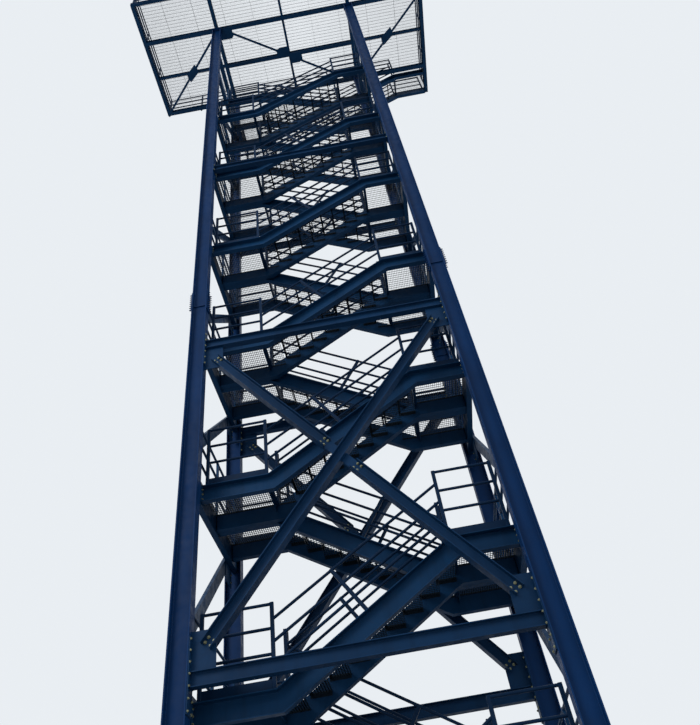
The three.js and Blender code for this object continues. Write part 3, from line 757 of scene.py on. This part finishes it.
def flight_guard(guard, y=0.0, base=0.0, shell=None):
    """A guard along one flight, with landing rails at its ends where it has them."""
    shell = shell or Shell()
    sizes = bpy.context.scene.stair_sizes
    x0, x1, foot = guard["x0"], guard["x1"], guard["foot"]
    rises = guard["rises"]
    sign = 1 if rises else -1
    rise = guard.get("risers", RISERS) * riser()
    angle = slope()
    left_z = base + (0.0 if rises else rise)
    right_z = base + (rise if rises else guard.get("ground", 0.0))

    def edge(x):
        return base + sign * (x - foot) * math.tan(angle)

    for height in FLIGHT_RAILS:
        low, high = edge(x0) + height - sizes.rail / 2, edge(x1) + height - sizes.rail / 2
        rail_tube(shell, (x0, y, low), (x1, y, high))
    reach = FLIGHT_RAILS[-1] * math.cos(angle)
    bays = guard.get("bays", 2)
    for bay in range(1, bays):
        x = x0 + (x1 - x0) * bay / bays
        head = (x - sign * reach * math.sin(angle), y, edge(x) + reach * math.cos(angle))
        shell.bar(post_section(sizes.post, sizes.rail), (x, y, edge(x) + GAP), head, (0, 1, 0))
    post(shell, x0, left_z + GAP, left_z + HANDRAIL, y)
    post(shell, x1, right_z + GAP, right_z + HANDRAIL, y)
    for near, end, z in ((x0, guard.get("left"), left_z), (x1, guard.get("right"), right_z)):
        if end is None:
            continue
        span = sorted((near, end))
        level_rails(shell, *span, z, y)
        toe_plate(shell, *span, z, y)
        post(shell, end, z + GAP, z + HANDRAIL, y)
    return shell


def crosswise_guard(shell, x, y, posts, z=0.0, foot=GAP):
    """Rails, a toe plate and posts along y, at the level of a landing."""
    sizes = bpy.context.scene.stair_sizes
    for height in LANDING_RAILS:
        level = z + height - sizes.rail / 2
        rail_tube(shell, (x, y[0], level), (x, y[1], level))
    shell.box(middle(x, TOE_THICK), y, (z + foot, z + sizes.toe_height))
    ring = post_section(sizes.rail, sizes.post)
    for at in posts:
        ends = (z + foot, z + HANDRAIL)
        shell.loft([[(x + a, at + b, level) for a, b in ring] for level in ends])


ENDS = {"left": GUARD_END, "right": SPACING_X - GUARD_END}
RISING = {"rises": True, "x0": POST_LEFT_X, "x1": POST_RIGHT_X["front"], "foot": LEFT_BEND}
FALLING = {"rises": False, "x0": POST_LEFT_X, "x1": POST_RIGHT_X["rear"], "foot": RIGHT_BEND}
FRONT_INNER_Y = SETBACK + LANE + INNER_GUARD_IN
REAR_INNER_Y = SPACING_Y - FRONT_INNER_Y


def falling(n):
    """The guard of rear flight `n`. The first one stands on the flight's foot plate."""
    return {**FALLING, "ground": FOOT_PLATE["thick"] if n == 1 else 0.0}


class TOWER_OT_guards(bpy.types.Operator):
    """Build the guards of the flights and their landings"""

    bl_idname = "tower.guards"
    bl_label = "Guards"

    def execute(self, context):
        surfaces = surfaces_of("guard_coating")
        sizes = context.scene.stair_sizes
        storey = sizes.storey
        front = flight_guard({**RISING, **ENDS}).mesh("front_guard", surfaces)
        for n in range(1, STOREYS + 1):
            place = Matrix.Translation((0, FRONT_GUARD_Y, (n - 0.5) * storey))
            shown(f"front_guard_{n}_rails", front, f"front_guard_{n}", place)
        for n in range(1, STOREYS + 2):
            place = Matrix.Translation((0, 0, (n - 1) * storey))
            guard = falling(n)
            if n > 1:
                guard["right"] = ENDS["right"]
            if n <= STOREYS:
                guard["left"] = ENDS["left"]
            outer = flight_guard(guard, SPACING_Y - FRONT_GUARD_Y)
            mesh = outer.mesh(f"rear_guard_{n}", surfaces)
            shown(f"rear_guard_{n}_rails", mesh, f"rear_guard_{n}", place)
            last = n > STOREYS
            inner = falling(n)
            if last:
                inner["left"] = ENDS["left"]
            shell = flight_guard(inner, REAR_INNER_Y)
            if not last:
                flight_guard(RISING, FRONT_INNER_Y, storey / 2, shell)
                for height in LANDING_RAILS:
                    z = storey / 2 + height - sizes.rail / 2
                    ends = [(POST_LEFT_X, y, z) for y in (FRONT_INNER_Y, REAR_INNER_Y)]
                    rail_tube(shell, *ends)
            mesh = shell.mesh(f"inner_guards_{n}", surfaces)
            shown(f"inner_guards_{n}_rails", mesh, f"inner_guards_{n}", place)
        return {"FINISHED"}


NEAR_GUARD_CLEAR = 0.010
FAR_GUARD_CLEAR = 0.030


class TOWER_OT_upper_guards(bpy.types.Operator):
    """Build the two guards of the upper stair"""

    bl_idname = "tower.upper_guards"
    bl_label = "Upper stair guards"

    def execute(self, context):
        surfaces = surfaces_of("guard_coating")
        sizes = context.scene.stair_sizes
        level = LAST_LANDING_STOREYS * sizes.storey
        place = Matrix.Translation((0, 0, level))
        upper_bend = UPPER["bend"] + UPPER["risers"] * GOING
        guard = {
            "rises": True,
            "x0": UPPER["bend"] - LEFT_BEND + POST_LEFT_X,
            "x1": upper_bend - RIGHT_BEND + POST_RIGHT_X["front"],
            "foot": UPPER["bend"],
            "risers": UPPER["risers"],
            "bays": UPPER["bays"],
        }
        near_y = UPPER["y"] - sizes.stringer_flange / 2
        far_y = UPPER["y"] + UPPER["lane"] + sizes.stringer_flange / 2
        near = flight_guard(guard, near_y)
        start = SPACING_Y - SETBACK + sizes.stringer_flange + NEAR_GUARD_CLEAR
        crosswise_guard(near, guard["x0"], (start, near_y), [start + sizes.post / 2])
        left = UPPER["end"] + sizes.post / 2
        right = RIGHT_EDGE - BEAM_FLANGE - sizes.post
        far = flight_guard({**guard, "left": left, "right": right}, far_y)
        start = SPACING_Y + COLUMN["flange"] / 2 + FAR_GUARD_CLEAR
        crosswise_guard(far, left, (start, far_y), [start + sizes.post / 2])
        for side, shell in (("near", near), ("far", far)):
            name, node = f"upper_stair_{side}_rails", f"upper_stair_{side}_guard"
            shown_shell(name, shell, surfaces, node, place)
        return {"FINISHED"}


def straight_guard(length, bays, foot=GAP):
    """A straight guard along x with evenly spaced posts."""
    sizes = bpy.context.scene.stair_sizes
    shell = Shell()
    level_rails(shell, 0, length, 0)
    toe_plate(shell, 0, length, 0)
    for i in range(bays + 1):
        post(shell, sizes.post / 2 + i * (length - sizes.post) / bays, foot, HANDRAIL)
    return shell


GUARD_INSET = 0.010
REAR_GUARD_END = 5.709
REAR_GUARD_FOOT = -0.190


class TOWER_OT_platform_guards(bpy.types.Operator):
    """Build the guards round the platform"""

    bl_idname = "tower.platform_guards"
    bl_label = "Platform guards"

    def execute(self, context):
        surfaces = surfaces_of("guard_coating")
        sizes = context.scene.stair_sizes
        line = sizes.post / 2 + GUARD_INSET
        front_line = line + FRONT_EDGE
        rear_line = SPACING_Y + (BEAM_FLANGE + sizes.rail) / 2 + GAP
        start = front_line + sizes.rail / 2 + GAP
        left_end = rear_line - sizes.rail / 2 - GAP
        right_end = UPPER["y"] + UPPER["lane"] + sizes.stringer_flange - sizes.post
        from_x = LEFT_EDGE + GUARD_INSET
        straight, turned = Matrix(), Matrix.Rotation(math.pi / 2, 4, "Z")
        for name, x, y, length, bays, foot, turn in (
            ("front", from_x, front_line, RIGHT_EDGE - GUARD_INSET - from_x, 8, GAP, straight),
            ("rear", from_x, rear_line, REAR_GUARD_END - from_x, 7, REAR_GUARD_FOOT, straight),
            ("left", LEFT_EDGE + line, start, left_end - start, 3, GAP, turned),
            ("right", RIGHT_EDGE - line, start, right_end - start, 4, GAP, turned),
        ):
            shell = straight_guard(length, bays, foot)
            place = Matrix.Translation((x, y, PLATFORM_LEVEL)) @ turn
            piece, node = f"platform_{name}_rails", f"platform_{name}_guard"
            shown_shell(piece, shell, surfaces, node, place)
        return {"FINISHED"}


PANEL_CLEAR = 0.002
THRESHOLD_CLEAR = 0.050


class TOWER_OT_platform_deck(bpy.types.Operator):
    """Build the grating panels of the platform"""

    bl_idname = "tower.platform_deck"
    bl_label = "Platform deck"

    def execute(self, context):
        sizes = context.scene.grating_sizes
        shell = Shell()
        count = round((RIGHT_EDGE - LEFT_EDGE) / sizes.panel)
        width = (RIGHT_EDGE - LEFT_EDGE) / count
        rows = ((FRONT_EDGE, 0.0), (0.0, MIDDLE_BEAM_Y), (MIDDLE_BEAM_Y, SPACING_Y))
        rods = {"rod": sizes.deck_rod, "rod_pitch": sizes.deck_rod_pitch}
        for i in range(count):
            x = LEFT_EDGE + i * width, LEFT_EDGE + (i + 1) * width
            for row in rows:
                panel = [(low + PANEL_CLEAR, high - PANEL_CLEAR) for low, high in (x, row)]
                grating(shell, *panel, PLATFORM_LEVEL, **rods)
        threshold = (SPACING_Y, UPPER["y"] - context.scene.stair_sizes.stringer_flange - GAP)
        grating(shell, (REAR_GUARD_END + THRESHOLD_CLEAR, RIGHT_EDGE), threshold, PLATFORM_LEVEL)
        name, surfaces = "platform_deck_panels", surfaces_of(*STAIR_SURFACES)
        shown_shell(name, shell, surfaces, "platform_grating")
        return {"FINISHED"}


# Columns
BASE_PLATE = {"x": 0.460, "y": 0.400, "thick": 0.030}
BASE_BOLTS = {"x": 0.380, "y": 0.310, "size": 1.4}
CAP_PLATE = {"x": 0.300, "y": 0.220, "thick": 0.020}
SPLICE = {"z": 11.49, "height": 0.50, "thick": 0.016, "y": 0.160}
SPLICE_BOLTS = {"rows": 8, "pitch": 0.060, "y": 0.100, "thread": 1.9}
JOINT_LINE = {"z": 11.40, "height": 0.020, "out": 0.020}


class TOWER_OT_columns(bpy.types.Operator):
    """Build the four columns with their base plates, bolted splices and cap plates"""

    bl_idname = "tower.columns"
    bl_label = "Columns"

    def execute(self, context):
        surfaces = surfaces_of("column_coating")
        size = context.scene.stair_sizes.bolt
        section = i_section(**COLUMN)
        outside = COLUMN["depth"] / 2
        base_top, cap_foot = BASE_PLATE["thick"], COLUMN_TOP - CAP_PLATE["thick"]
        shell = Shell()
        ends = (base_top - OVERLAP, cap_foot + OVERLAP)
        shell.loft([[(a, b, z) for a, b in section] for z in ends])
        for plate, z in ((BASE_PLATE, (0.0, base_top)), (CAP_PLATE, (cap_foot, COLUMN_TOP))):
            shell.box(middle(0, plate["x"]), middle(0, plate["y"]), z)
        splice = middle(SPLICE["z"], SPLICE["height"])
        first = SPLICE["z"] - (SPLICE_BOLTS["rows"] - 1) / 2 * SPLICE_BOLTS["pitch"]
        rows = [first + i * SPLICE_BOLTS["pitch"] for i in range(SPLICE_BOLTS["rows"])]
        web = COLUMN["web"] / 2
        reach = outside - COLUMN["thick"]
        for side in (-1, 1):
            face = side * (outside + SPLICE["thick"])
            plate_x = sorted((side * (outside - OVERLAP), face))
            shell.box(plate_x, middle(0, SPLICE["y"]), splice)
            for y in middle(0, SPLICE_BOLTS["y"]):
                places = [(face, y, z) for z in rows]
                shell.bolts(places, (side, 0, 0), size, COATED, SPLICE_BOLTS["thread"])
            joint_y = sorted((side * web, side * (web + JOINT_LINE["out"])))
            shell.box((-reach, reach), joint_y, middle(JOINT_LINE["z"], JOINT_LINE["height"]))
        base_x, base_y = middle(0, BASE_BOLTS["x"]), middle(0, BASE_BOLTS["y"])
        corners = [(x, y, base_top) for x in base_x for y in base_y]
        shell.bolts(corners, (0, 0, 1), size * BASE_BOLTS["size"])
        mesh = shell.mesh("column", surfaces)
        for name, at in {
            "front_left": (0, 0, 0), "front_right": (SPACING_X, 0, 0),
            "rear_left": (0, SPACING_Y, 0), "rear_right": (SPACING_X, SPACING_Y, 0),
        }.items():
            column = f"{name}_column"
            shown(f"{column}_body", mesh, column, Matrix.Translation(at))
        return {"FINISHED"}


# Bracing of the front and the rear
FACE_BEAM = {"depth": 0.180, "flange": 0.110, "thick": 0.012, "web": 0.008}
FACE_BRACE = {"depth": 0.155, "flange": 0.155, "thick": 0.012, "web": 0.008}
FACE_LEVELS = (4.705, 10.299, 16.355)
BRACE_INSET, BRACE_RISE = 0.186, 0.360
BRACE_BOLTS = {"along": (0.035, 0.105), "across": (-0.042, 0.042)}
FACE_GUSSET = {"x": 0.310, "z": 0.480, "half": 0.006}
CENTRE_STOP = Vector((-0.168, 0.2208))
CENTRE_PLATE = {"along": 0.42, "across": 0.07}
END_JOINT = {"thick": 0.015, "width": 0.170, "bolt_in": 0.030, "bolt_y": 0.136}
SMALL_BOLT = 0.8
# Foot, head and rows of bolts of each end plate
JOINT_PLATES = ((4.330, 5.200, 7), (9.800, 10.560, 6))
UPPER_JOINT = (16.230, 16.480, 2)


def end_plates(shell, y, rows, size):
    """Plates on the columns' flanges, each with two rows of bolts."""
    for x, inward in ((COLUMN_FACE, 1), (SPACING_X - COLUMN_FACE, -1)):
        for foot, head, count in rows:
            face = x + inward * END_JOINT["thick"]
            shell.box(sorted((x, face)), middle(y, END_JOINT["width"]), (foot, head))
            first = foot + END_JOINT["bolt_in"]
            step = (head - foot - 2 * END_JOINT["bolt_in"]) / (count - 1)
            for row in middle(y, END_JOINT["bolt_y"]):
                places = [(face, row, first + i * step) for i in range(count)]
                shell.bolts(places, (inward, 0, 0), size * SMALL_BOLT)


def face_beam(shell, y, z):
    ends = [(x, y, z) for x in (COLUMN_FACE, SPACING_X - COLUMN_FACE)]
    shell.bar(i_section(**FACE_BEAM), *ends, (0, 1, 0))


def crossed_braces(shell, y, size):
    """The crossed braces of one face, with their gussets and bolts."""
    low, high = FACE_LEVELS[:2]
    left, right = COLUMN_FACE, SPACING_X - COLUMN_FACE
    half = FACE_BEAM["depth"] / 2
    plate_y = middle(y, 2 * FACE_GUSSET["half"])
    for z in (
        (low + half - OVERLAP, low + half + FACE_GUSSET["z"]),
        (high - half - FACE_GUSSET["z"], high - half + OVERLAP),
    ):
        for x in ((left, left + FACE_GUSSET["x"]), (right - FACE_GUSSET["x"], right)):
            shell.box(x, plate_y, z)
    x0, x1 = left + BRACE_INSET, right - BRACE_INSET
    z0, z1 = low + BRACE_RISE, high - BRACE_RISE
    centre = Vector((SPACING_X / 2, (low + high) / 2))
    upper_stop, lower_stop = centre + CENTRE_STOP, centre - CENTRE_STOP
    section = i_section(**FACE_BRACE)
    for a, b in (
        (Vector((x0, z0)), Vector((x1, z1))),
        (Vector((x0, z1)), upper_stop),
        (lower_stop, Vector((x1, z0))),
    ):
        shell.bar(section, (a.x, y, a.y), (b.x, y, b.y), (0, 1, 0))
        way = (b - a).normalized()
        square = Vector((-way.y, way.x))
        for end, inward in ((a, way), (b, -way)):
            for along in BRACE_BOLTS["along"]:
                for across in BRACE_BOLTS["across"]:
                    at = end + inward * along + square * across
                    for side in (-1, 1):
                        place = (at.x, y + side * FACE_GUSSET["half"], at.y)
                        shell.bolt(place, (0, side, 0), size)
    way = (lower_stop - upper_stop).normalized()
    square = Vector((-way.y, way.x))
    along, across = way * CENTRE_PLATE["along"], square * CENTRE_PLATE["across"]
    turns = (-along - across, along - across, along + across, across - along)
    corners = [centre + turn for turn in turns]
    shell.loft([[(p.x, side, p.y) for p in corners] for side in reversed(plate_y)])


class TOWER_OT_face_bracing(bpy.types.Operator):
    """Build the beams and the crossed braces of the front and the rear"""

    bl_idname = "tower.face_bracing"
    bl_label = "Face bracing"

    def execute(self, context):
        # The bracing's navy holds painted shade
        surfaces = surfaces_of("bracing_coating")
        size = context.scene.stair_sizes.bolt
        for face, y in (("front", 0.0), ("rear", SPACING_Y)):
            shell = Shell()
            for level in FACE_LEVELS[:2]:
                face_beam(shell, y, level)
            crossed_braces(shell, y, size)
            end_plates(shell, y, JOINT_PLATES, size)
            shown_shell(f"{face}_braces", shell, surfaces, f"{face}_bracing")
            shell = Shell()
            face_beam(shell, y, FACE_LEVELS[2])
            end_plates(shell, y, [UPPER_JOINT], size)
            shown_shell(f"{face}_top_beam", shell, surfaces, f"{face}_upper_beam")
        return {"FINISHED"}


# Side frames
SIDE_BEAM = {"depth": 0.320, "flange": 0.088, "thick": 0.013, "web": 0.008}
SIDE_BRACE = {
    "depth": 0.180, "flange": 0.055, "thick": 0.008, "web": 0.008, "fillet": 0.007, "toe": 0.003,
}
BRACE_FRONT_RISE, BRACE_REAR_RISE = 0.420, 0.060
SIDE_BRACE_BOLTS = {"along": (0.03, 0.10, 0.17), "across": (-0.045, 0.045), "out": 0.012}
SIDE_GUSSET = {"y": 0.330, "z": 0.360, "thick": 0.010, "cut": 0.060}
GUSSET_BOLTS = {"count": 5, "in": 0.035, "first": 0.08, "pitch": 0.13}
GUSSET_X = SIDE_FACE - SIDE_BEAM["flange"] - SIDE_GUSSET["thick"]
WEB_FACE = COLUMN["web"] / 2 + GAP
FLANGE_FACE = COLUMN["flange"] / 2 + 0.005


def side_diagonal(shell, z, storey):
    """The diagonal of one storey. Returns where its ends are."""
    depth = SIDE_BRACE["depth"]
    section = [(a - depth / 2, -b) for a, b in channel_section(**SIDE_BRACE)]
    start = Vector((GUSSET_X, WEB_FACE, z + BRACE_FRONT_RISE))
    end = Vector((GUSSET_X, SPACING_Y - WEB_FACE, z + storey + BRACE_REAR_RISE))
    trim = (end - start).normalized() * depth
    shell.bar(section, start + trim, end - trim, (1, 0, 0))
    return start + trim, end - trim


def side_gusset(shell, y, z, cut, size):
    """A gusset with its free corner cut at `cut`, and the bolts beside the column."""
    x = GUSSET_X - OVERLAP, GUSSET_X + SIDE_GUSSET["thick"] + OVERLAP
    away, near = (y[1], y[0]) if cut > 0 else (y[0], y[1])
    free, fixed = (z[1], z[0]) if cut > 0 else (z[0], z[1])
    step = SIDE_GUSSET["cut"] * cut
    outline = (
        (near, fixed), (away, fixed), (away, free - step), (away - step, free), (near, free),
    )
    shell.loft([[(side, a, b) for a, b in outline] for side in x])
    row = near + GUSSET_BOLTS["in"] * cut
    count, first, pitch = (GUSSET_BOLTS[key] for key in ("count", "first", "pitch"))
    places = [(x[1], row, fixed + (first + pitch * i) * cut) for i in range(count)]
    shell.bolts(places, (1, 0, 0), size * SMALL_BOLT)


END_GUARD_CLEAR = 0.003


def end_guard(shell, z, y):
    """The guard at the end of a landing."""
    inset = bpy.context.scene.stair_sizes.post / 2
    posts = (y[0] + inset, (y[0] + y[1]) / 2, y[1] - inset)
    crosswise_guard(shell, SIDE_FACE - inset - END_GUARD_CLEAR, y, posts, z, -OVERLAP)


def side_frame(storeys, top_guard_from):
    """A side frame drawn for the left side, from its lowest landing up."""
    sizes = bpy.context.scene.stair_sizes
    shell = Shell()
    section = channel_section(**SIDE_BEAM)
    y = FLANGE_FACE, SPACING_Y - FLANGE_FACE
    for n in range(storeys):
        z = n * sizes.storey
        rings = [
            [(SIDE_FACE - b, along, z - a) for a, b in section]
            for along in (SPACING_Y - WEB_FACE, WEB_FACE)
        ]
        shell.loft(rings)
        if n == storeys - 1:
            end_guard(shell, z, (top_guard_from, y[1]))
            continue
        end_guard(shell, z, y)
        ends = side_diagonal(shell, z, sizes.storey)
        way = (ends[1] - ends[0]).normalized()
        square = Vector((0, -way.z, way.y))
        out = Vector((SIDE_BRACE_BOLTS["out"], 0, 0))
        for end, inward in zip(ends, (way, -way)):
            for along in SIDE_BRACE_BOLTS["along"]:
                at = end + inward * along
                places = [at + square * across + out for across in SIDE_BRACE_BOLTS["across"]]
                shell.bolts(places, (1, 0, 0), sizes.bolt * SMALL_BOLT)
        foot = (z - SIDE_BEAM["depth"] / 2, z + BRACE_FRONT_RISE + SIDE_GUSSET["z"])
        head = z + sizes.storey + BRACE_REAR_RISE
        head = (head - SIDE_BEAM["depth"] - SIDE_GUSSET["z"], head)
        side_gusset(shell, (y[0], y[0] + SIDE_GUSSET["y"]), foot, 1, sizes.bolt)
        side_gusset(shell, (y[1] - SIDE_GUSSET["y"], y[1]), head, -1, sizes.bolt)
    return shell


class TOWER_OT_side_frames(bpy.types.Operator):
    """Build the side frames: beams at the landings, diagonals, gussets and end guards"""

    bl_idname = "tower.side_frames"
    bl_label = "Side frames"

    def execute(self, context):
        surfaces = surfaces_of("stair_coating")
        storey = context.scene.stair_sizes.storey
        mirror = Matrix.Translation((SPACING_X, 0, storey)) @ Matrix.Scale(-1, 4, (1, 0, 0))
        left = side_frame(STOREYS + 1, REAR_INNER_Y).moved(Matrix.Translation((0, 0, storey / 2)))
        right = side_frame(STOREYS, FLANGE_FACE).moved(mirror)
        for side, shell in (("left", left), ("right", right)):
            name, node = f"{side}_frame_steel", f"{side}_side_frame"
            shown_shell(name, shell, surfaces, node)
        return {"FINISHED"}


# Pieces of the frame that show as they are
SOFT_EDGE = {"left_top_strut": 0.002, "right_top_strut": 0.002, "platform_frame": 0.0015}
SHARP_TURN = math.radians(40)


def dressed(node, finish, bevel):
    """Gives a node of the frame its finish and soft edges."""
    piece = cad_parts[node]
    for slot in piece.material_slots:
        slot.material = finish
    if not piece.material_slots:
        piece.data.materials.append(finish)
    edges = piece.modifiers.new("soft_edges", "BEVEL")
    edges.width = bevel
    edges.segments = 1
    edges.limit_method = "ANGLE"
    edges.angle_limit = SHARP_TURN


class TOWER_OT_steelwork(bpy.types.Operator):
    """Finish the top struts and the beams under the platform"""

    bl_idname = "tower.steelwork"
    bl_label = "Steelwork"

    def execute(self, context):
        coat = finishes()["stair_coating"]
        for node, bevel in SOFT_EDGE.items():
            dressed(node, coat, bevel)
        return {"FINISHED"}


# Stage
CAMERA_AT = Vector((2.7376, -7.7712, 1.5557))
CAMERA_RIGHT = Vector((0.98328, 0.14038, -0.11602))
CAMERA_FORWARD = Vector((-0.01806, 0.70908, 0.70489))
CAMERA_LENS = 33.85
CAMERA_SENSOR = 36.0
CAMERA_REACH = 600.0
FLOOR = 250.0
FLOOR_DROP = 0.001
FLOOR_TONES = ((0.43, 0.43, 0.43), (0.44, 0.44, 0.43))
FLOOR_CLOUDS = (3.0, 5, 0.3, 0.7)
FLOOR_ROUGHNESS = 0.9
SKY = {"colour": (0.86, 0.90, 0.94, 1), "strength": 0.95}
# Power in watts, width, place and aim of each light
LIGHTS = {
    "soft_front_left": (5200, 14, (-16, -20, 22), (2, 1, 12)),
    "soft_right": (2600, 14, (24, -10, 26), (2, 1, 14)),
}


class TOWER_OT_stage(bpy.types.Operator):
    """Add the camera, a pale floor and soft light"""

    bl_idname = "tower.stage"
    bl_label = "Stage"

    def execute(self, context):
        scene = context.scene
        camera = bpy.data.objects.new("camera", bpy.data.cameras.new("camera"))
        camera.data.lens = CAMERA_LENS
        camera.data.sensor_width = CAMERA_SENSOR
        camera.data.clip_end = CAMERA_REACH
        back = -CAMERA_FORWARD.normalized()
        right = (CAMERA_RIGHT - back * CAMERA_RIGHT.dot(back)).normalized()
        turn = Matrix((right, back.cross(right), back)).transposed()
        camera.matrix_world = Matrix.Translation(CAMERA_AT) @ turn.to_4x4()
        scene.collection.objects.link(camera)
        scene.camera = camera

        shell = Shell()
        corners = [(x * FLOOR, y * FLOOR, 0) for x, y in ((-1, -1), (1, -1), (1, 1), (-1, 1))]
        shell.add(corners, [(0, 1, 2, 3)])
        floor_finish = bpy.data.materials.new("floor_finish")
        tree, shader = nodes_of(floor_finish)
        tone = mixed(tree, patches(tree, *FLOOR_CLOUDS), *FLOOR_TONES)
        tree.links.new(tone, shader.inputs["Base Color"])
        shader.inputs["Roughness"].default_value = FLOOR_ROUGHNESS
        floor = bpy.data.objects.new("floor", shell.mesh("floor", [floor_finish]))
        floor.location.z = -FLOOR_DROP
        scene.collection.objects.link(floor)

        world = bpy.data.worlds.new("overcast_sky")
        scene.world = world
        world.use_nodes = True
        background = world.node_tree.nodes["Background"]
        background.inputs["Color"].default_value = SKY["colour"]
        background.inputs["Strength"].default_value = SKY["strength"]
        for name, (power, width, at, aim) in LIGHTS.items():
            light = bpy.data.objects.new(name, bpy.data.lights.new(name, "AREA"))
            light.data.energy = power
            light.data.size = width
            light.location = at
            way = Vector(aim) - Vector(at)
            light.rotation_euler = way.to_track_quat("-Z", "Y").to_euler()
            scene.collection.objects.link(light)
        scene.view_settings.view_transform = "Standard"
        return {"FINISHED"}


class TOWER_PT_panel(bpy.types.Panel):
    """Lists the parts of the tower and their sizes and colours"""

    bl_label = "Stair tower"
    bl_space_type = "VIEW_3D"
    bl_region_type = "UI"
    bl_category = "Stair tower"

    def draw(self, context):
        layout = self.layout
        for key, kind in GROUPS.items():
            for name in kind.__annotations__:
                layout.prop(getattr(context.scene, key), name)
        for operator in OPERATORS:
            layout.operator(operator.bl_idname)


OPERATORS = (
    TOWER_OT_stage,
    TOWER_OT_steelwork,
    TOWER_OT_flights,
    TOWER_OT_upper_stair,
    TOWER_OT_rear_landing,
    TOWER_OT_guards,
    TOWER_OT_upper_guards,
    TOWER_OT_platform_guards,
    TOWER_OT_platform_deck,
    TOWER_OT_columns,
    TOWER_OT_face_bracing,
    TOWER_OT_side_frames,
)
GROUPS = {"stair_sizes": StairSizes, "grating_sizes": GratingSizes, "tower_colours": PaintColours}
CLASSES = (*GROUPS.values(), *OPERATORS, TOWER_PT_panel)


def register():
    for kind in CLASSES:
        bpy.utils.register_class(kind)
    for name, kind in GROUPS.items():
        setattr(bpy.types.Scene, name, PointerProperty(type=kind))


def unregister():
    for name in GROUPS:
        delattr(bpy.types.Scene, name)
    for kind in reversed(CLASSES):
        bpy.utils.unregister_class(kind)


def main():
    register()
    for operator in OPERATORS:
        step = operator.bl_idname.partition(".")[2]
        getattr(bpy.ops.tower, step)()


if __name__ == "__main__":
    main()
